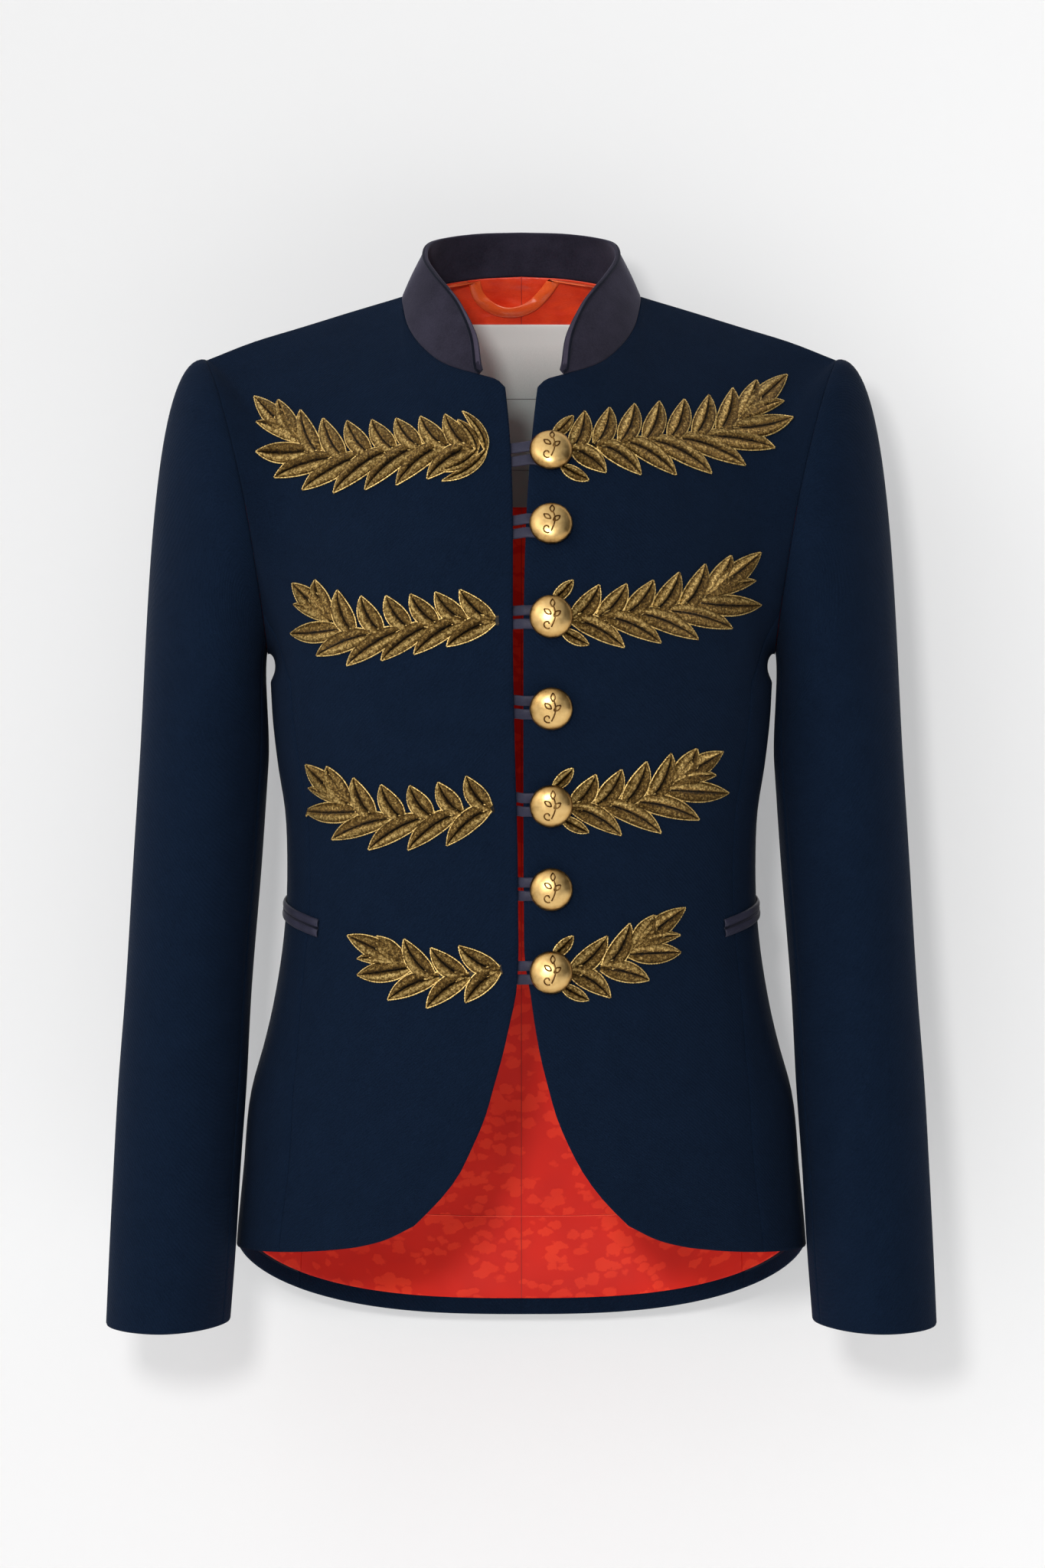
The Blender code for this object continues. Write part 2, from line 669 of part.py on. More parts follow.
class Cloth:
    """A panel's own points, on which a viewer's ray finds the place of a piece."""

    def __init__(self, points, normals, turned_from=None):
        self.points, self.normals = points.reshape(-1, 3), normals.reshape(-1, 3)
        self.triangles = grid_triangles(*points.shape[:2], turned_from)
        self.tree = BVHTree.FromPolygons([Vector(point) for point in self.points], self.triangles)
        self.edge = points[:, 0]

    def at(self, across, height):
        """Point and normal where the viewer's ray through this place of the elevation meets the cloth."""
        return self.meet(EYE, (across - EYE[0], -EYE[1], height - EYE[2]))

    def front_edge(self, height):
        """Where this front's edge shows at a height of the elevation."""
        nearer = EYE[1] / (EYE[1] - self.edge[:, 1])
        across = EYE[0] + (self.edge[:, 0] - EYE[0]) * nearer
        heights = EYE[2] + (self.edge[:, 2] - EYE[2]) * nearer
        return float(np.interp(height, heights, across))

    def meet(self, start, run):
        """Point and normal where a ray meets the cloth, or those nearest to it."""
        start, ray = Vector(start), Vector(run).normalized()
        hit, _, index, _ = self.tree.ray_cast(start, ray)
        if hit is None:
            hit, _, index, _ = self.tree.find_nearest(start + Vector(run))
        corners = self.points[list(self.triangles[index])]
        sides = np.stack([corners[1] - corners[0], corners[2] - corners[0]], axis=1)
        second, third = np.linalg.lstsq(sides, np.array(hit) - corners[0], rcond=None)[0]
        normal = self.normals[list(self.triangles[index])].T @ np.array([1 - second - third, second, third])
        return np.array(hit), unit(normal)

    def clearance(self, point, normal):
        """Height of a point over the cloth."""
        near, _, _, _ = self.tree.find_nearest(Vector(point))
        return float((point - np.array(near)) @ normal)


def eased_heights(cloth, points, normals, triangles, base):
    """Height over the cloth of each point of a flat underside, raised where an edge would cut into a fold."""
    heights = np.full(len(points), float(base))
    edges = {tuple(sorted(pair)) for a, b, c in triangles for pair in ((a, b), (b, c), (c, a))}
    for _ in range(5):
        lifted = points + normals * heights[:, None]
        need = np.zeros(len(points))
        for a, b in edges:
            for share in (0.15, 0.32, 0.5, 0.68, 0.85):
                middle = lifted[a] * (1 - share) + lifted[b] * share
                lack = REST_GAP - cloth.clearance(middle, unit(normals[a] + normals[b]))
                need[a], need[b] = max(need[a], lack), max(need[b], lack)
        heights += need
    return heights


def relief(name, outlines, ribs, cloth, base, edge_height, rib_height, surface):
    """One solid from overlapping flat outlines laid on the cloth, high at their edges and low along their ribs.

    Each outline runs anticlockwise.
    """
    points = [point for outline in outlines for point in outline]
    faces, count = [], 0
    for outline in outlines:
        faces.append(list(range(count, count + len(outline))))
        count += len(outline)
    rib_ids = set(range(count, count + sum(len(rib) for rib in ribs)))
    lines = []
    for rib in ribs:
        points += rib
        lines += [(count + i, count + i + 1) for i in range(len(rib) - 1)]
        count += len(rib)
    flat, _, triangles, sources, _, owners = delaunay_2d_cdt(
        [Vector(point) for point in points], lines, faces, 0, 1e-4, True
    )
    triangles = [tuple(triangle) for triangle, owner in zip(triangles, owners) if owner]
    used = sorted({i for triangle in triangles for i in triangle})
    renumbered = {i: n for n, i in enumerate(used)}
    triangles = [tuple(renumbered[i] for i in triangle) for triangle in triangles]
    flat, sources = [flat[i] for i in used], [sources[i] for i in used]
    found = [cloth.at(place.x, place.y) for place in flat]
    on_cloth, normals = np.array([point for point, _ in found]), np.array([normal for _, normal in found])
    heights = eased_heights(cloth, on_cloth, normals, triangles, base)[:, None]
    rise = np.array([rib_height if set(source) & rib_ids else edge_height for source in sources])[:, None]
    low, high = on_cloth + normals * heights, on_cloth + normals * (heights + rise)
    total = len(flat)
    sides = {}
    for triangle in triangles:
        for a, b in zip(triangle, triangle[1:] + triangle[:1]):
            sides[(a, b)] = True
    walls = [(a, b) for a, b in sides if (b, a) not in sides]
    all_faces = [tuple(i + total for i in triangle) for triangle in triangles]
    all_faces += [tuple(triangle[::-1]) for triangle in triangles]
    for a, b in walls:
        all_faces += [(a, b, b + total), (a, b + total, a + total)]
    return solid(name, np.concatenate([low, high]), all_faces, surface)


def leaf(foot, heading, chord, bend, width):
    """Outline and rib of one leaf, from its foot in the direction heading, bent to one side."""
    length = chord / math.hypot(1, bend)
    along = np.array([math.cos(heading), math.sin(heading)])
    across = np.array([-along[1], along[0]])

    def middle(share):
        return foot + (along * share + across * bend * share * share) * length

    def side(share, reach):
        run = unit(along + across * 2 * bend * share)
        return middle(share) + np.array([-run[1], run[0]]) * width / 2 * reach

    lower = [side(share, -reach) for share, reach in LEAF_OUTLINE[:-1]]
    upper = [side(share, reach) for share, reach in LEAF_OUTLINE[:-1]]
    outline = lower + [middle(1.0)] + upper[::-1]
    rib = [middle(0.14), middle(0.80)]
    return [tuple(point) for point in outline], [tuple(point) for point in rib]


def along_stalk(stalk, share):
    """Point and heading at a share of the stalk's length."""
    points = np.array(stalk, float)
    lengths = np.concatenate([[0], np.cumsum(np.linalg.norm(np.diff(points, axis=0), axis=1))])
    table = np.column_stack([lengths / lengths[-1], points])
    here, ahead = smooth(table, share), smooth(table, min(share + 0.02, 1.0))
    behind = smooth(table, max(share - 0.02, 0.0))
    run = ahead - behind
    return here, math.atan2(run[1], run[0])


def leaf_to(foot, heading, tip, width):
    """(foot, first heading, chord, bend, width) of a leaf that leaves along the stalk and curves to its tip."""
    chord = tip - foot
    turn = math.atan2(chord[1], chord[0])
    away = (turn - heading + math.pi) % (2 * math.pi) - math.pi
    bend = min(max(math.tan(0.65 * away), -LEAF_BEND), LEAF_BEND)
    return foot, turn - math.atan(bend), float(np.linalg.norm(chord)), bend, width


def spray_leaves(stalk, upper, lower, end, above, below, closed):
    """The leaves of a spray: those above, those below, the two at its end and those that close its start."""
    facing = 1 if stalk[-1][0] > stalk[0][0] else -1
    start = 0.07 if closed else 0.02
    leaves = []
    for count, tips, last in ((above, upper, 0.97), (below, lower, 0.90)):
        for i in range(count):
            foot, heading = along_stalk(stalk, start + (last - start) * i / (count - 1))
            lowest = tips is lower and i == count - 1
            tip = along_stalk(tips, i / (count - 1))[0]
            leaves.append(leaf_to(foot, heading - LOWEST_TURN * facing * lowest, tip, LEAF_WIDTH))
    foot, heading = along_stalk(stalk, 0.98)
    leaves.append(leaf_to(foot, heading, np.array(end, float), LEAF_WIDTH))
    turn, size, width = SMALL_LEAF
    c, s = math.cos(turn * facing), math.sin(turn * facing)
    chord = (np.array(end, float) - foot) * size
    tip = foot + np.array([chord[0] * c - chord[1] * s, chord[0] * s + chord[1] * c])
    leaves.append(leaf_to(foot, heading, tip, LEAF_WIDTH * width))
    for turn, size, bend, inward in CLOSED_END if closed else ():
        foot = np.array(stalk[0], float) + np.array([inward * facing, 0.0])
        heading = math.radians(turn if facing > 0 else 180 - turn)
        leaves.append((foot, heading, size, bend * facing, CLOSED_WIDTH))
    return leaves


def arc_under_button(centre):
    """Outline of the arc under a button, and the leaves that start on it."""
    turns = [math.radians(turn) for turn in np.linspace(-60, 88, 8)]
    rims = []
    for reach in (ARC_RADIUS + ARC_WIDTH / 2, ARC_RADIUS - ARC_WIDTH / 2):
        rims.append([(centre[0] + reach * math.cos(turn), centre[1] + reach * math.sin(turn)) for turn in turns])
    leaves = []
    for turn, heading, size in ARC_LEAVES:
        foot = np.array(centre) + ARC_RADIUS * np.array([math.cos(math.radians(turn)), math.sin(math.radians(turn))])
        leaves.append((foot, math.radians(heading), size, 0.1, ARC_LEAF_WIDTH))
    return rims[0] + rims[1][::-1], leaves


def build_laurel(name, cloth):
    stalk = SPRAYS[name][0]
    placed = spray_leaves(*SPRAYS[name], closed=name == CLOSED_SPRAY)
    outlines, ribs = [], []
    if "left" in name:
        height = BUTTON_HEIGHTS[2 * int(name[-1]) - 2]
        arc, starts = arc_under_button((BUTTON_ACROSS, height))
        outlines.append(arc)
        placed += starts
    for one in placed:
        outline, rib = leaf(*one)
        outlines.append(outline)
        ribs.append(rib)
    steps = [along_stalk(stalk, share) for share in np.linspace(0.0, 0.98, 5)]
    sides = []
    for way in (1, -1):
        reach = STALK_WIDTH / 2 * way
        sides.append([tuple(p + np.array([-math.sin(a), math.cos(a)]) * reach) for p, a in steps])
    outlines.append(sides[1] + sides[0][::-1])
    relief(name, outlines, ribs, cloth, LEAF_BASE, LEAF_EDGE, LEAF_RIB, "gold_thread")


def loop_edges(fronts, height):
    """Where a loop leaves the right front's underside and where it comes to lie on the left front."""
    return fronts["right"].front_edge(height) + 0.35, fronts["left"].front_edge(height) - 0.35


def loop_depth(fronts, across, height):
    """Point and normal under a loop: on the left front, under the right front, or between them."""
    right_edge, left_edge = loop_edges(fronts, height)
    under = BODY_WALL + REST_GAP + LOOP_THICK
    here, normal = beside_edge(fronts["left"], max(across, left_edge), left_edge + 0.9, height)
    here = here + normal * REST_GAP
    if across >= left_edge:
        return here, normal
    far, far_normal = beside_edge(fronts["right"], min(across, right_edge), right_edge - 0.9, height)
    far = far - far_normal * under
    if across <= right_edge:
        return far, far_normal
    share = (across - left_edge) / (right_edge - left_edge)
    return here * (1 - share) + far * share, unit(normal * (1 - share) + far_normal * share)


def beside_edge(cloth, across, limit, height):
    """Point and normal on a front or, past its edge, level with its nearest cloth."""
    inside = max(across, limit) if limit > 0 else min(across, limit)
    point, normal = cloth.at(inside, height)
    return point + np.array([across - inside, 0.0, 0.0]), normal


def build_loop(number, height, fronts):
    """A strip folded round the button's shank, its two ends under the right front."""
    path = []
    for way in (1, -1):
        strand = []
        for stop in range(5):
            spread = LOOP_GAP / 2 if stop < 3 else LOOP_EYE
            pair = []
            for level in (height + spread * way, height + (spread + LOOP_WIDTH) * way):
                right_edge, left_edge = loop_edges(fronts, level)
                stops = (right_edge - LOOP_TAIL, right_edge, left_edge, BUTTON_ACROSS - 6, BUTTON_ACROSS)
                pair.append((stops[stop], level))
            strand.append(tuple(pair))
        path.append(strand)
    bend = []
    for angle in (50, 0, -50):
        c, s = math.cos(math.radians(angle)), math.sin(math.radians(angle))
        reaches = (LOOP_EYE, LOOP_EYE + LOOP_WIDTH)
        bend.append(tuple((BUTTON_ACROSS + reach * c, height + reach * s) for reach in reaches))
    grid, normals = [], []
    for pair in path[0] + bend + path[1][::-1]:
        found = [loop_depth(fronts, *place) for place in pair]
        grid.append([point for point, _ in found])
        normals.append([normal for _, normal in found])
    grid, normals = np.array(grid), np.array(normals)
    sheet(f"loop_{number}", grid, normals, -LOOP_THICK, LOOP_THICK, "grey_satin")


def build_button(number, height, cloth):
    """A domed button on its shank, square to the cloth."""
    point, normal = cloth.at(BUTTON_ACROSS, height)
    profile = [(SHANK_RADIUS, REST_GAP), (SHANK_RADIUS, BUTTON_BACK), (BUTTON_RADIUS - 1.6, BUTTON_BACK)]
    profile += [(radius, BUTTON_BACK + rise) for radius, rise in BUTTON_PROFILE]
    top = BUTTON_BACK + BUTTON_PROFILE[-1][1] + 0.4
    sides = 10
    points = [(0.0, 0.0, REST_GAP)]
    for radius, rise in profile:
        for i in range(sides):
            angle = 2 * math.pi * i / sides
            points.append((radius * math.cos(angle), radius * math.sin(angle), rise))
    points.append((0.0, 0.0, top))
    faces = [(0, 1 + (i + 1) % sides, 1 + i) for i in range(sides)]
    for level in range(len(profile) - 1):
        for i in range(sides):
            a, b = 1 + level * sides + i, 1 + level * sides + (i + 1) % sides
            faces.append((a, b, b + sides, a + sides))
    last = 1 + (len(profile) - 1) * sides
    faces += [(last + i, last + (i + 1) % sides, len(points) - 1) for i in range(sides)]
    place = Vector(normal).to_track_quat("Z", "Y").to_matrix().to_4x4()
    place.translation = Vector(point) * MM
    solid(f"button_{number}", points, faces, "satin_brass", place)


def build_jets(side, word, torso):
    """Two rolled strips along a slanted pocket mouth, one over the other."""
    front, middle = torso["front"], torso["side"]
    joined = [np.concatenate([front[i], middle[i][:, 1:]], axis=1) for i in (0, 1)]
    cloth = Cloth(*joined)
    steps = np.linspace(JET_RUN[0][0], JET_RUN[-1][0], JET_CELLS + 1)
    for place, shift in (("upper", 1), ("lower", -1)):
        found = []
        for step in steps:
            height = float(smooth(JET_RUN, step)[0])
            for rise in (JET_APART / 2, JET_APART / 2 + JET_HEIGHT):
                axis = np.array([0.0, 0.0, height + rise * shift])
                aim = mirrored(ring(math.radians(step), axis[2]), side)
                found.append(cloth.meet(axis, aim - axis))
        points, out = np.array([point for point, _ in found]), np.array([normal for _, normal in found])
        heights = eased_heights(cloth, points, out, grid_triangles(len(steps), 2), REST_GAP)
        shape = (len(steps), 2, 3)
        points = (points + out * heights[:, None]).reshape(shape)
        sheet(f"jet_{place}_{word}", points, out.reshape(shape), -JET_THICK, JET_THICK, "grey_satin")


# Inside the back

def back_lining_grid(torso):
    """Points and normals of both back halves as one grid, from the right side seam to the left."""
    right, left = torso[-1]["back"], torso[1]["back"]
    points = np.concatenate([right[0], left[0][:, -2::-1]], axis=1)
    normals = np.concatenate([right[1], left[1][:, -2::-1]], axis=1)
    return points, normals


def build_lining(torso):
    points, normals = back_lining_grid(torso)
    inside = BODY_WALL + REST_GAP
    yoke_rows = UPPER_ROWS
    seam = LOWER_ROWS + yoke_rows - 1
    middle = points.shape[1] // 2
    body = points[: seam + 1].copy()
    fall = points[1] - points[0]
    body[0] = points[0] + fall * (HEM_STRIP / np.linalg.norm(fall, axis=-1, keepdims=True))
    inset = (0, SEAM_GAP / 2, SEAM_GAP, SEAM_GAP)
    sheet("lining_back", body, normals[: seam + 1], inside, LINING_WALL, "red_lining", inset, middle)
    first, last = arm_columns()
    first += 1
    top = slice(first, points.shape[1] - first)
    inset = (SEAM_GAP / 2, SEAM_GAP, SEAM_GAP, SEAM_GAP)
    sheet("yoke", points[seam:, top], normals[seam:, top], inside, LINING_WALL, "red_lining", inset, middle - first)
    return Cloth(points - normals * (inside + LINING_WALL), -normals, middle)


def arm_columns():
    """First and last column of a back half that ends at the armhole."""
    arm = sum(1 for turn in ARM_TURNS if 0 < turn <= SEAM_TURN)
    return arm, arm + SHOULDER_CELLS


def build_label(inner):
    """A plain satin panel on the lining's inner face, under the yoke's seam."""
    across = np.linspace(-LABEL_HALF_WIDTH, LABEL_HALF_WIDTH, 7)
    levels = np.linspace(LABEL_BOTTOM, LABEL_TOP, 6)
    found = [inner.at(x, z) for z in levels for x in across]
    points, facing = np.array([point for point, _ in found]), np.array([normal for _, normal in found])
    heights = eased_heights(inner, points, facing, grid_triangles(6, 7), REST_GAP)
    shape = (6, 7, 3)
    points = (points + facing * heights[:, None]).reshape(shape)
    sheet("label", points, facing.reshape(shape), -LINING_WALL, LINING_WALL, "label_satin")


def build_hanger(inner):
    """A narrow satin loop hanging in the back neck."""
    grid, facing = [], []
    for share in np.linspace(0, 1, 13):
        middle, heading = along_stalk(HANGER_RUN, share)
        side = np.array([-math.sin(heading), math.cos(heading)]) * HANGER_WIDTH / 2
        found = [inner.at(*(middle + side * way)) for way in (-1, 1)]
        grid.append([point for point, _ in found])
        facing.append([normal for _, normal in found])
    grid, facing = np.array(grid), np.array(facing)
    sheet("hanger_loop", grid, facing, -REST_GAP - 0.3 - HANGER_THICK, HANGER_THICK, "red_lining")


def build_body():
    torso = {side: torso_grids(side) for side in (-1, 1)}
    half = SEAM_GAP / 2
    insets = {
        "front": (0, half, 0, half),
        "side": (0, half, half, half),
        "back": (0, half, half, half),
    }
    for side, word in ((-1, "right"), (1, "left")):
        for panel, (points, normals) in torso[side].items():
            sheet(f"{panel}_{word}", points, normals, 0, BODY_WALL, "navy_wool", insets[panel])
    return torso


def main():
    for old in list(bpy.data.objects):
        bpy.data.objects.remove(old)
    bpy.context.scene.unit_settings.scale_length = 1.0
    root = bpy.data.objects.new("blazer", None)
    bpy.context.scene.collection.objects.link(root)
    torso = build_body()
    for side, word in ((-1, "right"), (1, "left")):
        build_sleeve(side, word)
        build_jets(side, word, torso[side])
    build_collar()
    fronts = {word: Cloth(*torso[side]["front"]) for side, word in ((-1, "right"), (1, "left"))}
    for name in SPRAYS:
        build_laurel(name, fronts[name.split("_")[1]])
    for number, height in enumerate(BUTTON_HEIGHTS, 1):
        build_loop(number, height, fronts)
        build_button(number, height, fronts["left"])
    inner = build_lining(torso)
    build_label(inner)
    build_hanger(inner)


main()
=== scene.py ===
"""Looks of the embroidered blazer: fine shells on the solids' sections, stitched leaves and studio light.

Shapes are worked out in millimetres, as in the part's source, and become metres where a mesh is made.
A place on the front is given as (across, height) in the elevation that a viewer sees.
"""

import math

import bpy
import numpy as np
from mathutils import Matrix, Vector
from mathutils.bvhtree import BVHTree


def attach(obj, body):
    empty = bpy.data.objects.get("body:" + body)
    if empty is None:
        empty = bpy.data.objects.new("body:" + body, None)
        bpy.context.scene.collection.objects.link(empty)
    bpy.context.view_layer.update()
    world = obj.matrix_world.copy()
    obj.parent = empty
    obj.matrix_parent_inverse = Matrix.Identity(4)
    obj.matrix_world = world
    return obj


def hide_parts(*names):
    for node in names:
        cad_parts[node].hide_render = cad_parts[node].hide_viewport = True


MM = 0.001

# Cloth
BODY_WALL = 1.8
SLEEVE_WALL = 1.6
COLLAR_WALL = 2.2
LINING_WALL = 1.0
SEAM_GAP = 0.4
REST_GAP = 0.4
EYE = (0.7, -3300.0, -302.0)

# Torso: a ring at each height, with half width, depth to the front and depth to the back
FRONT_ROUNDNESS, BACK_ROUNDNESS = 2.3, 2.7
TORSO = (
    # height, half width, front, back
    (-650, 177.5, 113, 118),
    (-586, 175.8, 113, 116),
    (-540, 171.6, 111, 112),
    (-489, 166.3, 108, 106),
    (-460, 158.2, 106, 100),
    (-432, 152.0, 104, 94),
    (-390, 146.0, 102, 86),
    (-347, 144.5, 103, 82),
    (-319, 145.7, 107, 84),
    (-290, 150.2, 113, 90),
    (-262, 153.4, 119, 96),
    (-240, 154.6, 123, 101),
)
CHEST = -240
FRONT_EDGE = (
    # height, right, left
    (-566, 64.6, 64.6),
    (-556, 54.0, 54.0),
    (-538, 39.0, 39.4),
    (-520, 29.8, 29.3),
    (-502, 22.0, 21.5),
    (-483, 16.5, 16.0),
    (-465, 11.4, 11.5),
    (-447, 7.3, 8.2),
    (-428, 3.2, 5.5),
    (-410, 1.9, 2.4),
    (-378, 1.9, 1.5),
    (-343, 2.2, 1.3),
    (-284, 3.8, 1.2),
    (-240, 4.7, 1.2),
)
FRONT_HEM = (
    # distance from the middle, height
    (64, -566.0),
    (82, -575.0),
    (96, -579.0),
    (119, -582.5),
    (148, -585.0),
    (176, -586.0),
)
SIDE_HEM = -586
BACK_HEM_DROP = 55
BACK_HEM_CURVE = 1.5
PANEL_SEAM = (
    # height, seam with the front, seam with the back
    (-650, 0.835, 0.80),
    (-586, 0.835, 0.80),
    (-500, 0.825, 0.78),
    (-432, 0.880, 0.76),
    (-347, 0.890, 0.76),
    (-240, 0.905, 0.88),
)
COLLAR = (
    # station, seam across, seam deep, seam high, edge across, edge deep, edge high
    (0, 25.9, -73.0, -54.1, 24.3, -73.8, -51.2),
    (1, 40.8, -65.0, -49.4, 26.4, -64.0, -32.9),
    (2, 51.1, -56.0, -44.0, 30.2, -58.0, -22.4),
    (3, 61.6, -42.0, -34.0, 37.8, -46.0, -7.7),
    (4, 69.0, -27.0, -22.8, 44.9, -36.0, 2.1),
    (5, 72.6, -12.0, -11.2, 52.1, -24.0, 11.3),
    (6, 73.6, 5.0, 0.0, 59.0, -5.0, 23.4),
    (7, 66.0, 28.0, 6.5, 57.5, 16.0, 34.0),
    (8, 50.0, 47.0, 12.0, 47.0, 36.0, 39.5),
    (9, 27.0, 59.0, 16.4, 26.0, 49.0, 43.3),
    (10, 0.0, 62.5, 18.0, 0.0, 53.0, 44.4),
)
NECK_POINT, COLLAR_BACK = 6, 10
THROAT = (10.4, -77.0, -58.5)
SHOULDER = (
    # share of the seam, across, deep, high
    (0.00, 73.6, 5.0, 0.0),
    (0.25, 104.5, 7.0, -9.0),
    (0.50, 136.0, 8.5, -18.6),
    (0.75, 167.0, 9.5, -28.0),
    (1.00, 195.0, 10.0, -39.0),
)
ARMHOLE = (
    # turn from the shoulder point by the front (-) or back (+), across, deep, high
    (-180, 156.6, 0.0, -222.0),
    (-155, 156.6, -26.0, -213.0),
    (-130, 158.2, -44.0, -195.0),
    (-110, 161.0, -53.0, -174.0),
    (-90, 164.6, -57.0, -150.0),
    (-70, 170.0, -54.0, -121.0),
    (-47, 178.2, -42.0, -87.0),
    (-24, 187.5, -20.0, -56.0),
    (0, 195.0, 10.0, -39.0),
    (24, 188.0, 36.0, -55.0),
    (47, 179.5, 53.0, -86.0),
    (70, 172.0, 60.0, -121.0),
    (90, 166.6, 60.0, -150.0),
    (110, 162.4, 54.0, -175.0),
    (130, 158.8, 43.0, -196.0),
    (155, 156.8, 24.0, -213.0),
    (180, 156.6, 0.0, -222.0),
)
ARM_TURNS = tuple(row[0] for row in ARMHOLE)
SEAM_TURN = 130
TOP_RUN = (
    # share of the panel, across, deep (towards the seam), high
    (0.00, 0.00, 0.42, 0.90),
    (0.36, 0.00, 0.80, 0.60),
    (0.46, 0.20, 0.80, 0.56),
    (0.57, 0.60, 0.58, 0.52),
    (0.72, 0.74, 0.26, 0.60),
    (0.88, 0.52, 0.20, 0.82),
    (1.00, 0.30, 0.16, 0.94),
)
COLLAR_SHARE, NECK_SHARE, SHOULDER_SHARE = 0.09, 0.36, 0.57
THROAT_RUN = 0.13
THROAT_ROUND = 7.0
ARM = (
    # height, across, deep, half width, half depth
    (-640, 216.0, -42.0, 37.6, 43.0),
    (-585, 213.2, -33.0, 38.6, 44.5),
    (-537, 211.0, -25.5, 38.9, 46.0),
    (-489, 208.4, -17.5, 39.4, 48.0),
    (-432, 205.2, -9.0, 38.8, 50.5),
    (-347, 199.8, 1.0, 39.7, 54.5),
    (-290, 196.2, 3.0, 39.8, 57.5),
)
ARM_TOP = -290
CUFF = (
    # turn, height
    (0, -631),
    (90, -633.5),
    (180, -629),
    (270, -630),
    (360, -631),
)
UNDER_SLEEVE = (155, 250)

# Rows and columns of the solids, and how much finer the shells are
NECK_CELLS, SHOULDER_CELLS, LOWER_ROWS, UPPER_ROWS = 4, 3, 8, 7
SLEEVE_ROWS, HEAD_ROWS, COLLAR_ROWS = 8, 7, 3
EVENING_ROUNDS = 3
FINER = 5
BELOW_CHEST = slice(0, LOWER_ROWS * FINER)
SIDES = ((-1, "right"), (1, "left"))

# Sprays, by places (across, height) in the elevation. Feet are spaced along the stalk, tips along two lines
SPRAYS = {
    # name: (stalk, line of upper tips, line of lower tips, tip of the end leaf, leaves above, leaves below)
    "laurel_right_1": (
        ((-22, -96), (-52, -93.5), (-85, -97), (-117, -100.5), (-131, -96), (-139.5, -88.5)),
        ((-47, -74), (-84, -77), (-120, -77), (-150, -65)),
        ((-58, -114), (-92, -120), (-126, -122), (-150, -115), (-164, -97)),
        (-165, -63), 8, 7,
    ),
    "laurel_right_2": (
        ((-14, -201), (-40, -201.5), (-64, -205), (-85, -208.5), (-100, -209), (-112, -206), (-120, -199)),
        ((-38, -182), (-72.5, -185), (-105, -185), (-127, -176)),
        ((-46, -217), (-82, -225), (-117, -227.5), (-142, -209)),
        (-141, -178), 7, 6,
    ),
    "laurel_right_3": (
        ((-17, -316.5), (-41.5, -320), (-60.5, -322.5), (-82.5, -323), (-97, -320.5), (-108, -313)),
        ((-34, -297), (-63.5, -302.5), (-94, -301), (-119.5, -291)),
        ((-46, -340), (-80, -343), (-114, -338), (-133, -318.5)),
        (-132.5, -290), 6, 5,
    ),
    "laurel_right_4": (
        ((-12, -416.5), (-27, -420), (-45, -421), (-60, -419.5), (-74, -412)),
        ((-38.6, -402), (-57, -403), (-71, -398), (-89.4, -396)),
        ((-34.5, -437), (-55, -440.5), (-83, -435), (-101, -420)),
        (-107, -395.5), 4, 4,
    ),
    "laurel_left_1": (
        ((28.2, -96.5), (45, -93), (62, -91), (83, -90), (99, -88.5), (116, -87), (128, -82), (136, -75)),
        ((39, -72), (75, -67), (112, -63), (145, -53)),
        ((52, -110), (89, -111.5), (129.5, -108), (154, -97), (168, -76)),
        (164, -49.6), 8, 7,
    ),
    "laurel_left_2": (
        ((28.2, -200.5), (45, -199), (61, -197), (76, -196), (90, -195), (104, -191.5), (115, -185)),
        ((48, -179), (75, -177.5), (103, -169.5), (129, -161)),
        ((63.4, -217.6), (90.5, -214.2), (124, -209), (147.5, -191.4)),
        (147.5, -159), 6, 5,
    ),
    "laurel_left_3": (
        ((28.2, -316.5), (42, -315), (55, -314), (70.5, -313), (83, -309), (94, -301)),
        ((46, -296), (68, -291.3), (86.5, -284.5), (108, -280)),
        ((61.5, -333.6), (84.4, -332.5), (114, -321), (127.4, -307.4)),
        (124, -282), 5, 4,
    ),
    "laurel_left_4": (
        ((28.2, -418.5), (36, -417), (43, -416), (55, -414.5), (63, -410), (69, -404)),
        ((53, -396), (62, -390.5), (71.5, -386), (82, -383)),
        ((55, -434), (72, -427), (86.5, -417.5), (98, -406)),
        (101, -378.5), 3, 3,
    ),
}
# Leaves that start under a button, round the arc that joins them
ARC_RADIUS, ARC_WIDTH = 10.3, 2.0
ARC_LEAVES = (
    # turn of the foot round the button, heading, length
    (82, 40, 17.5),
    (-50, -34, 19.0),
)
ARC_LEAF_WIDTH = 7.5
LEAF_OUTLINE = (
    # share of the length, share of the half width
    (0.00, 0.30),
    (0.12, 0.64),
    (0.28, 0.92),
    (0.46, 1.00),
    (0.63, 0.93),
    (0.79, 0.68),
    (0.91, 0.36),
    (1.00, 0.02),
)
LEAF_WIDTH = 12.8
LEAF_BEND = 0.5
SMALL_LEAF = (-0.37, 0.74, 0.66)
LOWEST_TURN = 0.75
CLOSED_END = (
    # turn from the stalk, length, bend, distance from the stalk's start
    (88, 27.7, -0.55, 0.0),
    (-64, 33.0, 0.55, 0.0),
    (84, 22.0, -0.50, 5.5),
    (-57, 26.0, 0.50, 5.5),
)
CLOSED_SPRAY, CLOSED_WIDTH = "laurel_right_1", 6.2
STALK_WIDTH = 3.0
LEAF_BASE, LEAF_RISE = 0.35, 2.1

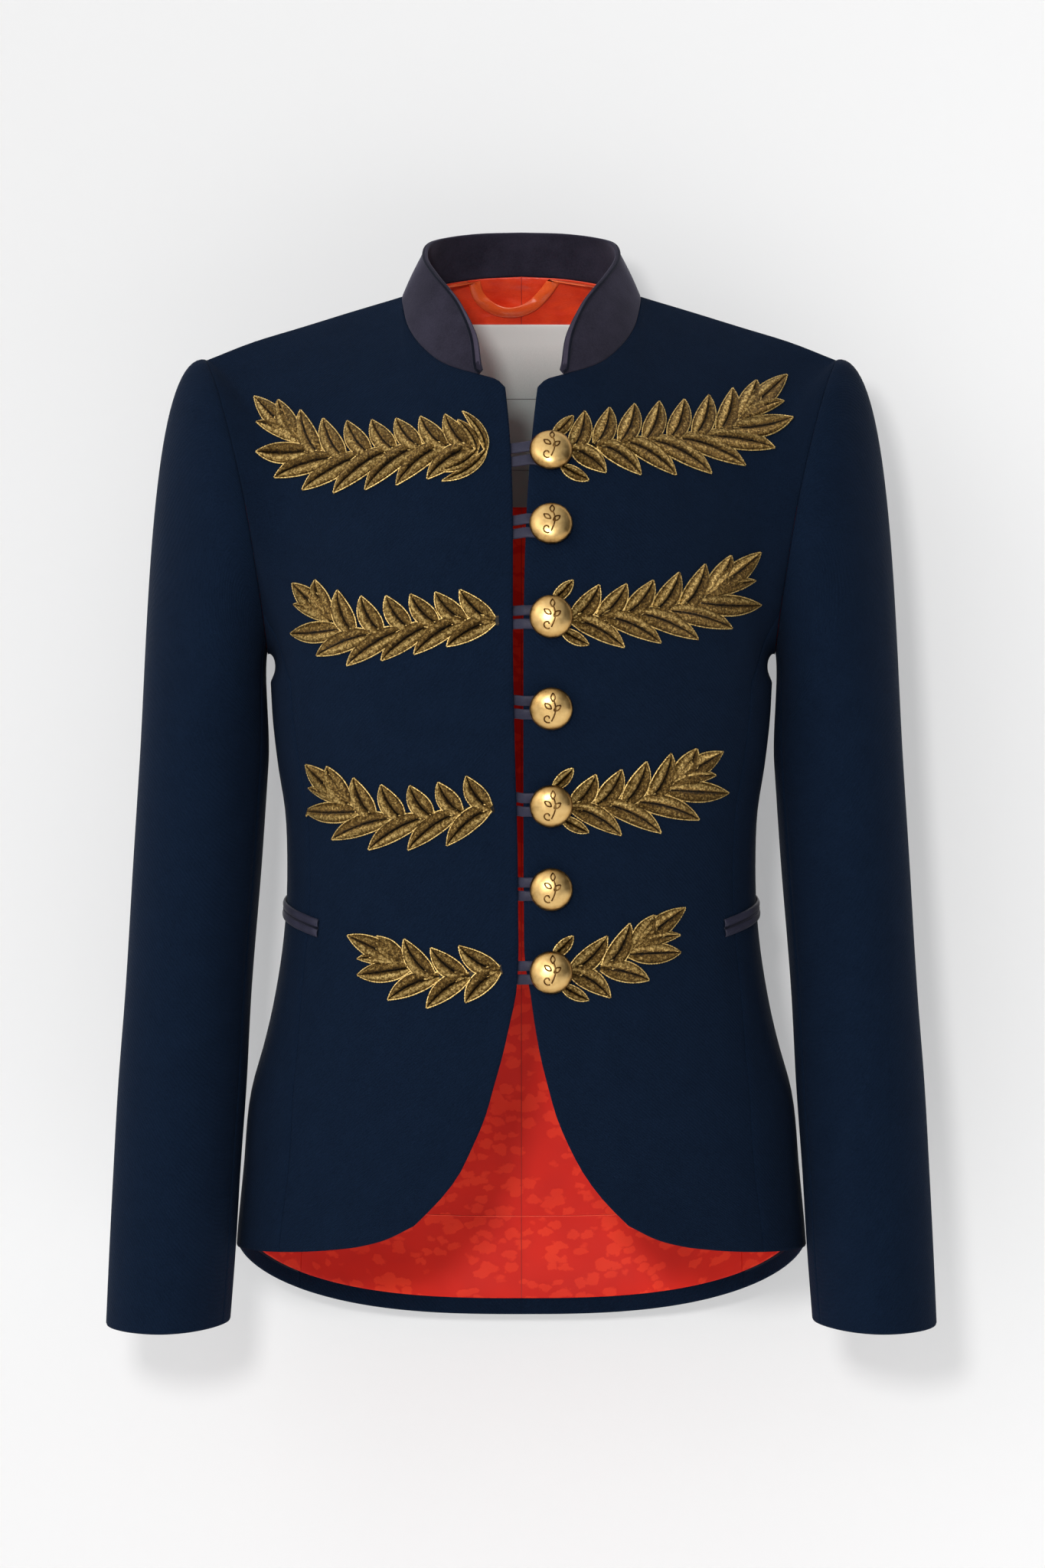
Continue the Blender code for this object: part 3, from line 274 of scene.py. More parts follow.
BUTTON_ACROSS = 18.2
BUTTON_HEIGHTS = (-97.7, -142.6, -198.9, -254.7, -314.8, -367.0, -418.6)
BUTTON_RADIUS = 12.9
BUTTON_BACK = 3.0
BUTTON_TOP = 7.6
SHANK_RADIUS = 1.6
LOOP_WIDTH, LOOP_THICK = 6.3, 1.0
LOOP_GAP, LOOP_EYE = 2.0, 2.2
LOOP_TAIL = 7.0

JET_RUN = (
    # degrees from the middle of the front, height
    (55, -389.5),
    (66, -385.3),
    (78, -381.2),
    (90, -377.6),
    (102, -374.8),
    (114, -372.8),
)
JET_HEIGHT, JET_THICK, JET_APART = 5.0, 1.5, 0.8

LABEL_HALF_WIDTH, LABEL_TOP, LABEL_BOTTOM = 42.0, -18.0, -131.0
HEM_STRIP = 10.5
PIPING_DROP = 3.6
HANGER_RUN = ((-30, 10), (-27, 0), (-18, -7.5), (-6, -10), (6, -6.5), (15, 2), (21, 10))
HANGER_WIDTH, HANGER_THICK = 7.5, 1.2
LABEL_LINES, LABEL_LINE_HALF = (-64.0, -108.0), 30

# Fine work: overlaps at seams, edge cords, the dome of a button and its engraving
SEAM_OVERLAP, HEAD_OVERLAP = 0.03, 0.35
EDGE_CORD, STITCH_PITCH = 0.5, 1.6
DOME_POWER, DOME_FOOT = 0.92, 1.7
SPRIG_SCALE, SPRIG_LINE = 1.45, 0.46
LOOP_CLEAR = 0.35


# Curves and grids

TABLES = {}


def unit(vector):
    return vector / np.linalg.norm(vector, axis=-1, keepdims=True)


def heading_of(angle):
    return np.array([math.cos(angle), math.sin(angle)])


def hermite(start, end, run_out, run_in, share):
    square, cube = share * share, share**3
    return (
        (2 * cube - 3 * square + 1) * start
        + (cube - 2 * square + share) * run_out
        + (3 * square - 2 * cube) * end
        + (cube - square) * run_in
    )


def on_curve(keys, data, slopes, value):
    """Place at a value of the keys, on a smooth curve through the rows of data."""
    value = min(max(value, keys[0]), keys[-1])
    i = min(max(int(np.searchsorted(keys, value)) - 1, 0), len(keys) - 2)
    span = keys[i + 1] - keys[i]
    return hermite(data[i], data[i + 1], slopes[i] * span, slopes[i + 1] * span, (value - keys[i]) / span)


def smooth(table, value):
    """Row of a table at a value of its first column, on a smooth curve through the rows."""
    if id(table) not in TABLES:
        rows = np.asarray(table, float)
        TABLES[id(table)] = rows[:, 0], rows[:, 1:], np.gradient(rows[:, 1:], rows[:, 0], axis=0)
    return on_curve(*TABLES[id(table)], value)


def finer(stops, times):
    """The stops with each step between them cut into this many."""
    made = []
    for a, b in zip(stops[:-1], stops[1:]):
        made += [a + (b - a) * i / times for i in range(times)]
    return made + [stops[-1]]


def grid_normals(points):
    along = np.gradient(points, axis=1)
    down = np.gradient(points, axis=0)
    return unit(np.cross(along, down))


def run_lengths(points, axis=0):
    """Length run along a grid or a line of points, from its start to each point."""
    steps = np.linalg.norm(np.diff(points, axis=axis), axis=-1)
    return np.concatenate([np.zeros_like(steps.take([0], axis)), np.cumsum(steps, axis=axis)], axis=axis)


def quads(rows, columns):
    """Corners of each cell of a grid of points, row by row."""
    firsts = [r * columns + c for r in range(rows - 1) for c in range(columns - 1)]
    return [(a, a + 1, a + columns + 1, a + columns) for a in firsts]


def flipped(cells):
    return [(a, d, c, b) for a, b, c, d in cells]


def placed(found):
    """Grid of points and grid of normals, from a grid of pairs of them."""
    return (np.array([[pair[i] for pair in row] for row in found]) for i in (0, 1))


def ring(turn, height):
    half, front, back = smooth(TORSO, height)
    away = math.cos(turn)
    power = 2 / (FRONT_ROUNDNESS if away > 0 else BACK_ROUNDNESS)
    depth = math.copysign(abs(away) ** power, -away) * (front if away > 0 else back)
    return np.array([half * max(math.sin(turn), 0.0) ** power, depth, height])


def turn_of(across, height):
    half = smooth(TORSO, height)[0]
    return math.asin(min(across / half, 1.0) ** (FRONT_ROUNDNESS / 2))


def seam_turn(height, which):
    share = smooth(PANEL_SEAM, height)[which]
    turn = math.asin(share ** ((FRONT_ROUNDNESS, BACK_ROUNDNESS)[which] / 2))
    return turn if which == 0 else math.pi - turn


def column_turn(panel, side, share, height):
    if panel == "front":
        edge = turn_of(smooth(FRONT_EDGE, height)[0 if side < 0 else 1], height)
        return edge + (seam_turn(height, 0) - edge) * share
    if panel == "side":
        return seam_turn(height, 0) + (seam_turn(height, 1) - seam_turn(height, 0)) * share
    return seam_turn(height, 1) + (math.pi - seam_turn(height, 1)) * share


def hem_height(panel, side, share):
    height = -580.0
    for _ in range(8):
        turn = column_turn(panel, side, share, height)
        point = ring(turn, height)
        if turn < math.pi / 2:
            height = float(smooth(FRONT_HEM, point[0])[0])
        else:
            height = SIDE_HEM - BACK_HEM_DROP * abs(math.cos(turn)) ** (BACK_HEM_CURVE * 2 / BACK_ROUNDNESS)
    return height


def lower_column(panel, side, share):
    heights = np.linspace(hem_height(panel, side, share), CHEST, LOWER_ROWS * FINER + 1)
    return [ring(column_turn(panel, side, share, height), height) for height in heights]


def collar_seam(station):
    return smooth(COLLAR, station)[:3]


def top_point(panel, share):
    """Point of a panel's top edge: neck seam, shoulder seam, then armhole."""
    if panel == "side":
        turn = -SEAM_TURN + (SEAM_TURN * 2 - 360) * share
        return smooth(ARMHOLE, turn if turn >= -180 else turn + 360)
    if share < COLLAR_SHARE and panel == "front":
        blend = share / COLLAR_SHARE
        return np.array(THROAT) * (1 - blend) + collar_seam(0) * blend
    if share <= NECK_SHARE:
        low = COLLAR_SHARE if panel == "front" else 0.0
        along = (share - low) / (NECK_SHARE - low)
        if panel == "front":
            return collar_seam(NECK_POINT * along)
        return collar_seam(COLLAR_BACK + (NECK_POINT - COLLAR_BACK) * along)
    if share <= SHOULDER_SHARE:
        return smooth(SHOULDER, (share - NECK_SHARE) / (SHOULDER_SHARE - NECK_SHARE))
    turn = SEAM_TURN * (share - SHOULDER_SHARE) / (1 - SHOULDER_SHARE)
    return smooth(ARMHOLE, -turn if panel == "front" else turn)


def top_run(panel, share):
    if panel == "side":
        away = math.cos(math.pi * share)
        edge = smooth(TOP_RUN, 1.0)
        return unit(np.array([edge[0] * abs(away), edge[1] * away, edge[2]]))
    across, deep, high = smooth(TOP_RUN, share)
    if panel == "back":
        return unit(np.array([across, -deep, high]))
    return unit(np.array([across + THROAT_RUN * max(1 - share / NECK_SHARE, 0.0), deep, high]))


def upper_column(panel, side, share):
    from_edge = 1 - share if panel == "back" else share
    below, start = (ring(column_turn(panel, side, share, height), height) for height in (CHEST - 6, CHEST))
    end = top_point(panel, from_edge)
    length = np.linalg.norm(end - start)
    rise = (start - below) / 6 * length
    run = top_run(panel, from_edge) * length
    steps = np.linspace(0, 1, UPPER_ROWS * FINER + 1)[1:]
    return [hermite(start, end, rise, run, step) for step in steps]


def column_shares(panel):
    if panel == "side":
        turns = [turn for turn in ARM_TURNS if turn <= -SEAM_TURN]
        first = [(-SEAM_TURN - turn) / (360 - 2 * SEAM_TURN) for turn in turns[::-1]]
        return finer(first + [1 - share for share in first[-2::-1]], FINER)
    start = [0.0, COLLAR_SHARE] if panel == "front" else [0.0]
    neck = list(np.linspace(start[-1], NECK_SHARE, NECK_CELLS + 1)[1:])
    shoulder = list(np.linspace(NECK_SHARE, SHOULDER_SHARE, SHOULDER_CELLS + 1)[1:])
    turns = [abs(turn) for turn in ARM_TURNS if -SEAM_TURN <= turn < 0][::-1]
    arm = [SHOULDER_SHARE + (1 - SHOULDER_SHARE) * turn / SEAM_TURN for turn in turns]
    shares = finer(start + neck + shoulder + arm, FINER)
    return shares if panel == "front" else [1 - share for share in shares[::-1]]


def mirrored(points, side):
    return points * np.array([side, 1, 1])


def torso_grids(side):
    """Outer points and wall normals of each panel on one side, as grids with rows from hem to top."""
    names = ("front", "side", "back")
    grids = {}
    for panel in names:
        shares = column_shares(panel)
        columns = [lower_column(panel, side, share) + upper_column(panel, side, share) for share in shares]
        grids[panel] = np.array(columns).transpose(1, 0, 2)
    joined = np.concatenate([grids["front"], grids["side"][:, 1:], grids["back"][:, 1:]], axis=1)
    even_out(joined[LOWER_ROWS * FINER :])
    normals = grid_normals(joined)
    normals[:, -1, 0] = 0
    fit_top_normals(joined, normals)
    normals = unit(normals)
    ends = np.cumsum([0] + [grids[name].shape[1] - 1 for name in names])
    return {
        name: (mirrored(joined[:, a : b + 1], side), mirrored(normals[:, a : b + 1], side))
        for name, a, b in zip(names, ends[:-1], ends[1:])
    }


def even_out(points):
    """Evens the rows of a grid sideways, in place, most in the middle rows and not at all at its border."""
    weight = 0.5 * np.sin(np.linspace(0, math.pi, len(points)))[:, None, None] ** 2
    for _ in range(EVENING_ROUNDS * FINER * FINER):
        points[:, 1:-1] += weight * ((points[:, :-2] + points[:, 2:]) / 2 - points[:, 1:-1])


def fit_top_normals(joined, normals):
    """Normals of the top rows, shared by the two pieces that meet there and eased in from below."""
    wide = joined.shape[1]
    neck, shoulder = (NECK_CELLS + 1) * FINER, (NECK_CELLS + 1 + SHOULDER_CELLS) * FINER
    target = normals[-1].copy()
    for offset in range(SHOULDER_CELLS * FINER + 1):
        front, back = neck + offset, wide - 1 - NECK_CELLS * FINER - offset
        shared = unit(normals[-1, front] + normals[-1, back])
        target[front] = target[back] = shared
    for column in range(1, wide):
        if column <= neck or column >= wide - 1 - NECK_CELLS * FINER:
            lean = np.array([joined[-1, column][0] / 74, joined[-1, column][1] / 62, 0.0])
            target[column] = unit(target[column] + unit(lean) * 0.7)
    arm = slice(shoulder, wide - (NECK_CELLS + SHOULDER_CELLS) * FINER)
    target[arm] = armhole_normal(joined[-1, arm])
    for row in range(1, FINER + 1):
        share = 1 - (row - 1) / FINER
        normals[-row] = unit(normals[-row] * (1 - share) + target * share)


def armhole_normal(points):
    return unit(points * (0.0, 1.0, 1.0) + (0.0, -1.0, 135.0))


def arm_section(turn, height):
    across, deep, half_width, half_depth = smooth(ARM, height)
    angle = math.radians(turn)
    return np.array([across + half_width * math.cos(angle), deep - half_depth * math.sin(angle), height])


def sleeve_column(turn):
    """Points from the armhole down to the cuff. The turn goes from the outer side round by the front."""
    start = smooth(ARMHOLE, -turn if turn <= 180 else 360 - turn)
    start = start + np.array([SEAM_GAP, 0.0, 0.0])
    end = arm_section(turn, ARM_TOP)
    below = arm_section(turn, ARM_TOP - 6)
    out = (1 + math.cos(math.radians(turn))) / 2
    front = math.sin(math.radians(turn))
    run = unit(np.array([out + 0.25 * (1 - out), -0.35 * front, 0.19 * out - (1 - out)])) * (38 + 68 * out)
    fall = (below - end) / 6 * np.linalg.norm(end - start)
    head = [hermite(start, end, run, fall, step) for step in np.linspace(0, 1, HEAD_ROWS * FINER + 1)]
    foot = smooth(CUFF, turn % 360)[0]
    heights = np.linspace(ARM_TOP, foot, SLEEVE_ROWS * FINER + 1)[1:]
    return head + [arm_section(turn, height) for height in heights]


class Cloth:
    """A surface on which a viewer's ray finds the place of a piece."""

    def __init__(self, points, normals):
        self.points, self.normals = points.reshape(-1, 3), normals.reshape(-1, 3)
        cells = quads(*points.shape[:2])
        self.triangles = [corners for a, b, c, d in cells for corners in ((a, b, c), (a, c, d))]
        self.tree = BVHTree.FromPolygons([Vector(point) for point in self.points], self.triangles)
        self.edge = points[:, 0]

    def at(self, across, height):
        return self.meet(EYE, (across - EYE[0], -EYE[1], height - EYE[2]))

    def front_edge(self, height):
        nearer = EYE[1] / (EYE[1] - self.edge[:, 1])
        across = EYE[0] + (self.edge[:, 0] - EYE[0]) * nearer
        heights = EYE[2] + (self.edge[:, 2] - EYE[2]) * nearer
        return float(np.interp(height, heights, across))

    def meet(self, start, run):
        start, ray = Vector(start), Vector(run).normalized()
        hit, _, index, _ = self.tree.ray_cast(start, ray)
        if hit is None:
            hit, _, index, _ = self.tree.find_nearest(start + Vector(run))
        corners = list(self.triangles[index])
        a, b, c = self.points[corners]
        hit = np.array(hit)
        whole = np.cross(b - a, c - a)
        size = whole @ whole
        third = np.cross(b - a, hit - a) @ whole / size
        second = np.cross(hit - a, c - a) @ whole / size
        return hit, unit(np.array([1 - second - third, second, third]) @ self.normals[corners])


# Meshes


def piece(name, points, faces, surfaces, replaced, slot, choices=None, extras=None):
    """A mesh from points in millimetres that rides on the blazer and stands for CAD nodes."""
    mesh = bpy.data.meshes.new(name)
    mesh.from_pydata((np.asarray(points) * MM).tolist(), [], [tuple(face) for face in faces])
    for surface in surfaces:
        mesh.materials.append(MATERIALS[surface])
    if choices is not None:
        mesh.polygons.foreach_set("material_index", np.asarray(choices, np.int32))
    mesh.polygons.foreach_set("use_smooth", np.full(len(mesh.polygons), True))
    for key, values in (extras or {}).items():
        values = np.asarray(values, np.float32)
        if values.ndim == 1:
            mesh.attributes.new(key, "FLOAT", "POINT").data.foreach_set("value", values)
        else:
            layer = mesh.uv_layers.new(name=key)
            corners = np.zeros(len(mesh.loops), np.int32)
            mesh.loops.foreach_get("vertex_index", corners)
            layer.data.foreach_set("uv", values[corners].ravel())
    mesh.update()
    made = bpy.data.objects.new(name, mesh)
    bpy.context.scene.collection.objects.link(made)
    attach(made, "root")
    if replaced:
        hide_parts(*replaced)
    return made


def edge_shift(edge, neighbour):
    run = unit(np.gradient(edge, axis=0))
    inward = neighbour - edge
    return unit(inward - run * np.sum(inward * run, axis=-1, keepdims=True))


def pulled_in(points, inset):
    """Grid with each edge moved inward: (first row, last row, first column, last column)."""
    moved = points.copy()
    moved[0] += edge_shift(points[0], points[1]) * inset[0]
    moved[-1] += edge_shift(points[-1], points[-2]) * inset[1]
    moved[:, 0] += edge_shift(points[:, 0], points[:, 1]) * inset[2]
    moved[:, -1] += edge_shift(points[:, -1], points[:, -2]) * inset[3]
    return moved


def with_border(grid, points, width):
    """The grid with a line put in this far inside each border, so that an edge can be rolled."""

    def near(first, second, lengths):
        share = np.minimum(width / np.maximum(lengths, 1e-6), 0.5)[:, None]
        return first + (second - first) * share

    first, last = (np.linalg.norm(points[a] - points[b], axis=1) for a, b in ((1, 0), (-2, -1)))
    second, fourth = near(grid[0], grid[1], first), near(grid[-1], grid[-2], last)
    return np.array([grid[0], second, *grid[1:-1], fourth, grid[-1]])


def bordered(points, normals, width):
    for _ in range(2):
        points, normals = with_border(points, points, width), with_border(normals, points, width)
        points, normals = points.transpose(1, 0, 2), normals.transpose(1, 0, 2)
    return points, unit(normals)


def shell(
    name, points, normals, thick, surfaces, replaced, slot, inset=(0, 0, 0, 0), roll=0.5, rim=1.3,
    near=0, held="draped", level=slice(None),
):
    """Cloth wall between two depths under a grid of points, with rolled edges and a texture map in metres.

    A second surface lies on the inner side, short of its edges. The level is not used.
    """
    points, normals = bordered(pulled_in(points, inset), normals, rim)
    rows, columns = points.shape[:2]
    count = rows * columns
    drop = np.zeros((rows, columns, 1))
    drop[0] = drop[-1] = drop[:, 0] = drop[:, -1] = roll
    outer = points - normals * (near + drop)
    inner = points - normals * (near + thick - drop * 0.4)
    faces, kinds = [], []
    for a, b, c, d in quads(rows, columns):
        row, column = divmod(a, columns)
        faces += [(a, b, c, d), (a + count, d + count, c + count, b + count)]
        kinds += [0, int(1 < row < rows - 2 and 0 < column < columns - 2)]
    border = list(range(columns)) + [r * columns + columns - 1 for r in range(1, rows)]
    border += [(rows - 1) * columns + c for c in range(columns - 2, -1, -1)]
    border += [r * columns for r in range(rows - 2, 0, -1)]
    faces += [(b, a, a + count, b + count) for a, b in zip(border, border[1:] + border[:1])]
    kinds += [0] * len(border)
    probe = unit(np.cross(points[1, 1] - points[0, 1], points[1, 2] - points[1, 1]))
    if np.sum(probe * normals[1, 1]) > 0:
        faces = [face[::-1] for face in faces]
    along, down = run_lengths(points, 1), run_lengths(points, 0)
    flat = np.stack([along, down], axis=2).reshape(-1, 2) * MM
    both = np.concatenate([outer.reshape(-1, 3), inner.reshape(-1, 3)])
    extras = {"cloth": np.concatenate([flat, flat])}
    made = piece(name, both, faces, surfaces, replaced, slot, kinds if len(surfaces) > 1 else None, extras)
    return made


# Materials


class Nodes:
    """A node tree round one shader, written as short calls."""

    def __init__(self, owner, shader, **sockets):
        owner.use_nodes = True
        self.owner, self.tree = owner, owner.node_tree
        self.shader = self.tree.nodes[shader]
        for key, value in sockets.items():
            self.shader.inputs[key.replace("_", " ")].default_value = value

    def add(self, kind, **values):
        node = self.tree.nodes.new(kind)
        for key, value in values.items():
            if hasattr(node, key):
                setattr(node, key, value)
            else:
                node.inputs[key.replace("_", " ")].default_value = value
        return node

    def link(self, source, target):
        self.tree.links.new(source, target)

    def place(self, attribute=None):
        if attribute:
            node = self.add("ShaderNodeUVMap")
            node.uv_map = attribute
            return node.outputs["UV"]
        return self.add("ShaderNodeTexCoord").outputs["Object"]

    def noise(self, where, scale, detail=2.0, roughness=0.5, stretch=None):
        if stretch:
            spread = self.add("ShaderNodeMapping")
            spread.inputs["Scale"].default_value = stretch
            self.link(where, spread.inputs["Vector"])
            where = spread.outputs["Vector"]
        node = self.add("ShaderNodeTexNoise", Scale=scale, Detail=detail, Roughness=roughness)
        self.link(where, node.inputs["Vector"])
        return node.outputs["Fac"]

    def maths(self, operation, *values):
        node = self.add("ShaderNodeMath", operation=operation)
        for i, value in enumerate(values):
            if isinstance(value, (int, float)):
                node.inputs[i].default_value = value
            else:
                self.link(value, node.inputs[i])
        return node.outputs[0]

    def blend(self, first, share, second, other):
        return self.maths("ADD", self.maths("MULTIPLY", first, share), self.maths("MULTIPLY", second, other))

    def towards(self, output, aim):
        """How far a place or a direction lies towards an aim."""
        dot = self.add("ShaderNodeVectorMath", operation="DOT_PRODUCT")
        dot.inputs[1].default_value = aim
        self.link(self.add("ShaderNodeTexCoord").outputs[output], dot.inputs[0])
        return dot.outputs["Value"]

    def attribute(self, name):
        return self.add("ShaderNodeAttribute", attribute_name=name).outputs["Fac"]

    def ramp(self, source, stops):
        node = self.add("ShaderNodeValToRGB")
        elements = node.color_ramp.elements
        for _ in range(len(stops) - 2):
            elements.new(0.5)
        for element, (place, colour) in zip(elements, stops):
            element.position = place
            element.color = (*colour, 1.0)
        self.link(source, node.inputs["Fac"])
        return node.outputs["Color"]

    def mix(self, share, first, second):
        node = self.add("ShaderNodeMix", data_type="RGBA")
        for source, socket in ((share, 0), (first, 6), (second, 7)):
            self.link(source, node.inputs[socket])
        return node.outputs[2]

    def bump(self, height, strength, distance, normal=None):
        node = self.add("ShaderNodeBump", Strength=strength, Distance=distance)
        self.link(height, node.inputs["Height"])
        if normal is not None:
            self.link(normal, node.inputs["Normal"])
        return node.outputs["Normal"]

    def paint(self, colour=None, roughness=None, normal=None):
        for socket, source in (("Base Color", colour), ("Roughness", roughness), ("Normal", normal)):
            if source is not None:
                self.link(source, self.shader.inputs[socket])
        return self.owner


def grey(value):
    return (value, value, value)


def material(name, colour, roughness, **sockets):
    made = bpy.data.materials.new(name)
    return Nodes(made, "Principled BSDF", Base_Color=(*colour, 1.0), Roughness=roughness, **sockets)


NAVY_DARK = (0.0018, 0.0050, 0.013)


def wool():
    """Fine milled wool: a soft fibre grain with a faint diagonal twill under it."""
    sheen = {"Sheen_Weight": 0.02, "Sheen_Tint": (0.35, 0.5, 0.9, 1.0)}
    made = material("navy_wool", (0.004, 0.012, 0.034), 0.95, Specular_IOR_Level=0.05, **sheen)
    space = made.place()
    grain = made.noise(space, 1500, 3.0, 0.7)
    cloud = made.noise(space, 60, 3.0, 0.6)
    mixed = made.blend(grain, 0.85, cloud, 0.15)
    colour = made.ramp(mixed, [(0.30, NAVY_DARK), (0.72, (0.0058, 0.0142, 0.034))])
    twill = made.add("ShaderNodeTexWave", bands_direction="DIAGONAL", Scale=240.0, Distortion=1.5, Detail=1.0)
    made.link(made.place("cloth"), twill.inputs["Vector"])
    weave = made.blend(twill.outputs["Fac"], 0.4, grain, 1.0)
    return made.paint(colour, None, made.bump(weave, 0.7, 0.0005))


def suede(name, dark, light):
    sheen = {"Sheen_Weight": 0.10, "Sheen_Tint": (0.75, 0.72, 0.95, 1.0)}
    made = material(name, light, 0.92, Specular_IOR_Level=0.08, **sheen)
    space = made.place()
    nap = made.noise(space, 900, 3.0, 0.75)
    cloud = made.noise(space, 45, 3.0, 0.55)
    colour = made.ramp(made.blend(nap, 0.4, cloud, 0.6), [(0.32, dark), (0.68, light)])
    return made.paint(colour, None, made.bump(nap, 0.3, 0.0004))


def satin(name, dark, light, roughness=0.36, anisotropic=0.5, folds=0.0, shine=0.45):
    gloss = {"Anisotropic": anisotropic, "Specular_IOR_Level": shine}
    made = material(name, light, roughness, Sheen_Weight=0.03, Sheen_Tint=(1.0, 1.0, 1.0, 1.0), **gloss)
    space = made.place()
    threads = made.noise(space, 700, 2.0, 0.6, (1.0, 1.0, 6.0))
    cloud = made.noise(space, 70, 2.0, 0.5)
    colour = made.ramp(made.blend(threads, 0.45, cloud, 0.55), [(0.30, dark), (0.70, light)])
    wrinkles = made.bump(made.noise(space, 26, 2.0, 0.5, (1.0, 1.0, 2.2)), folds, 0.006)
    return made.paint(colour, None, made.bump(threads, 0.25, 0.0003, wrinkles))


def jacquard(name="red_lining", edges=None):
    """Red satin lining with a tonal pattern of leafy blots in clusters, and navy cloth inside its edges."""
    made = material(name, (0.55, 0.025, 0.010), 0.45, Specular_IOR_Level=0.2)
    flat, space = made.place("cloth"), made.place()
    warp = made.add("ShaderNodeTexNoise", Scale=150.0, Detail=3.0, Roughness=0.6)
    made.link(flat, warp.inputs["Vector"])
    moved = made.add("ShaderNodeVectorMath", operation="MULTIPLY_ADD")
    moved.inputs[1].default_value = (0.010, 0.008, 0.0)
    made.link(warp.outputs["Color"], moved.inputs[0])
    made.link(flat, moved.inputs[2])
    spread = made.add("ShaderNodeMapping", Scale=(95.0, 150.0, 1.0), Rotation=(0.0, 0.0, 0.6))
    made.link(moved.outputs[0], spread.inputs["Vector"])
    cells = made.add("ShaderNodeTexVoronoi", Scale=1.0, Randomness=1.0)
    made.link(spread.outputs["Vector"], cells.inputs["Vector"])
    clusters = made.maths("MULTIPLY", made.noise(flat, 26), 0.80)
    reach = made.maths("SUBTRACT", cells.outputs["Distance"], clusters)
    blots = made.ramp(reach, [(0.0, grey(0.9)), (0.10, grey(0.0))])
    cloud = made.noise(space, 22)
    ground = made.ramp(cloud, [(0.30, (0.58, 0.008, 0.001)), (0.72, (0.72, 0.014, 0.002))])
    leafy = made.ramp(cloud, [(0.30, (0.70, 0.024, 0.005)), (0.72, (0.86, 0.042, 0.009))])
    shown = made.mix(blots, ground, leafy)
    if edges:
        across = made.add("ShaderNodeSeparateXYZ")
        made.link(flat, across.inputs[0])
        foot, side = (made.maths("LESS_THAN", across.outputs[1 - i], edges[i]) for i in (0, 1))
        navy = made.ramp(cloud, [(0.3, NAVY_DARK), (0.7, (0.0045, 0.0110, 0.026))])
        shown = made.mix(made.maths("MAXIMUM", foot, side), shown, navy)
    threads = made.noise(space, 900, 2.0, 0.6, (1.0, 1.0, 5.0))
    folds = made.bump(made.noise(space, 16), 0.5, 0.004)
    return made.paint(shown, None, made.bump(threads, 0.2, 0.0003, folds))


def gold_thread():
    """Satin-stitched metal thread: fine slanting threads, with painted shade where they dive at a midrib or
    an edge and a painted highlight on the lobes and edge cords.
    """
    made = material("gold_thread", (0.35, 0.22, 0.07), 0.38, Metallic=0.75, Specular_IOR_Level=0.6)
    threads = made.add("ShaderNodeTexWave", bands_direction="Y", Scale=820.0, Distortion=2.2, Detail=2.0)
    threads.inputs["Detail Scale"].default_value = 1.5
    made.link(made.place("stitch"), threads.inputs["Vector"])
    speck = made.noise(made.place(), 700, 3.0, 0.75)
    # The rise attribute carries painted shade and painted highlight set per point; the speck noise is random
    # tone.
    shade = made.blend(made.attribute("rise"), 0.62, speck, 1.7)
    shade = made.maths("ADD", shade, made.maths("MULTIPLY", threads.outputs["Fac"], 0.20))
    tones_with_painted_shade = [(0.16, (0.003, 0.002, 0.001)), (0.46, (0.085, 0.044, 0.009))]
    tones_with_painted_shade += [(0.72, (0.29, 0.165, 0.036)), (0.98, (0.95, 0.68, 0.25))]
    colour = made.ramp(made.maths("SUBTRACT", shade, 0.78), tones_with_painted_shade)
    relief = made.blend(threads.outputs["Fac"], 1.0, speck, 0.8)
    return made.paint(colour, None, made.bump(relief, 0.65, 0.0005))


def brass():
    made = material("satin_brass", (0.78, 0.52, 0.22), 0.34, Metallic=1.0)
    cloud = made.noise(made.place(), 260, 4.0, 0.6)
    # The rise attribute is painted shade, a dark rim and dark engraved lines; the cloud noise is random tone.
    shade = made.blend(cloud, 0.5, made.attribute("rise"), 0.5)
    tones_with_painted_shade = [(0.16, (0.10, 0.045, 0.012)), (0.46, (0.58, 0.35, 0.12)), (0.78, (0.80, 0.55, 0.23))]
    rough = made.ramp(cloud, [(0.3, grey(0.27)), (0.7, grey(0.42))])
    return made.paint(made.ramp(shade, tones_with_painted_shade), rough, made.bump(cloud, 0.12, 0.0004))


def label_satin():
    """Silver-grey satin with painted shade: darker slate towards its foot."""
    made = material("label_satin", (0.6, 0.65, 0.62), 0.5, Specular_IOR_Level=0.35)
    down = made.add("ShaderNodeSeparateXYZ")
    made.link(made.place("cloth"), down.inputs[0])
    threads = made.noise(made.place(), 900, 2.0, 0.6, (5.0, 1.0, 1.0))
    # Painted shade: the height up the label sets its tone, darkest at the foot.
    tones_with_painted_shade = [(0.25, (0.15, 0.20, 0.190)), (0.60, (0.34, 0.39, 0.375)), (0.90, (0.80, 0.83, 0.80))]
    colour = made.ramp(made.blend(down.outputs[1], 8.0, threads, 0.12), tones_with_painted_shade)
    return made.paint(colour, None, made.bump(threads, 0.2, 0.0003))


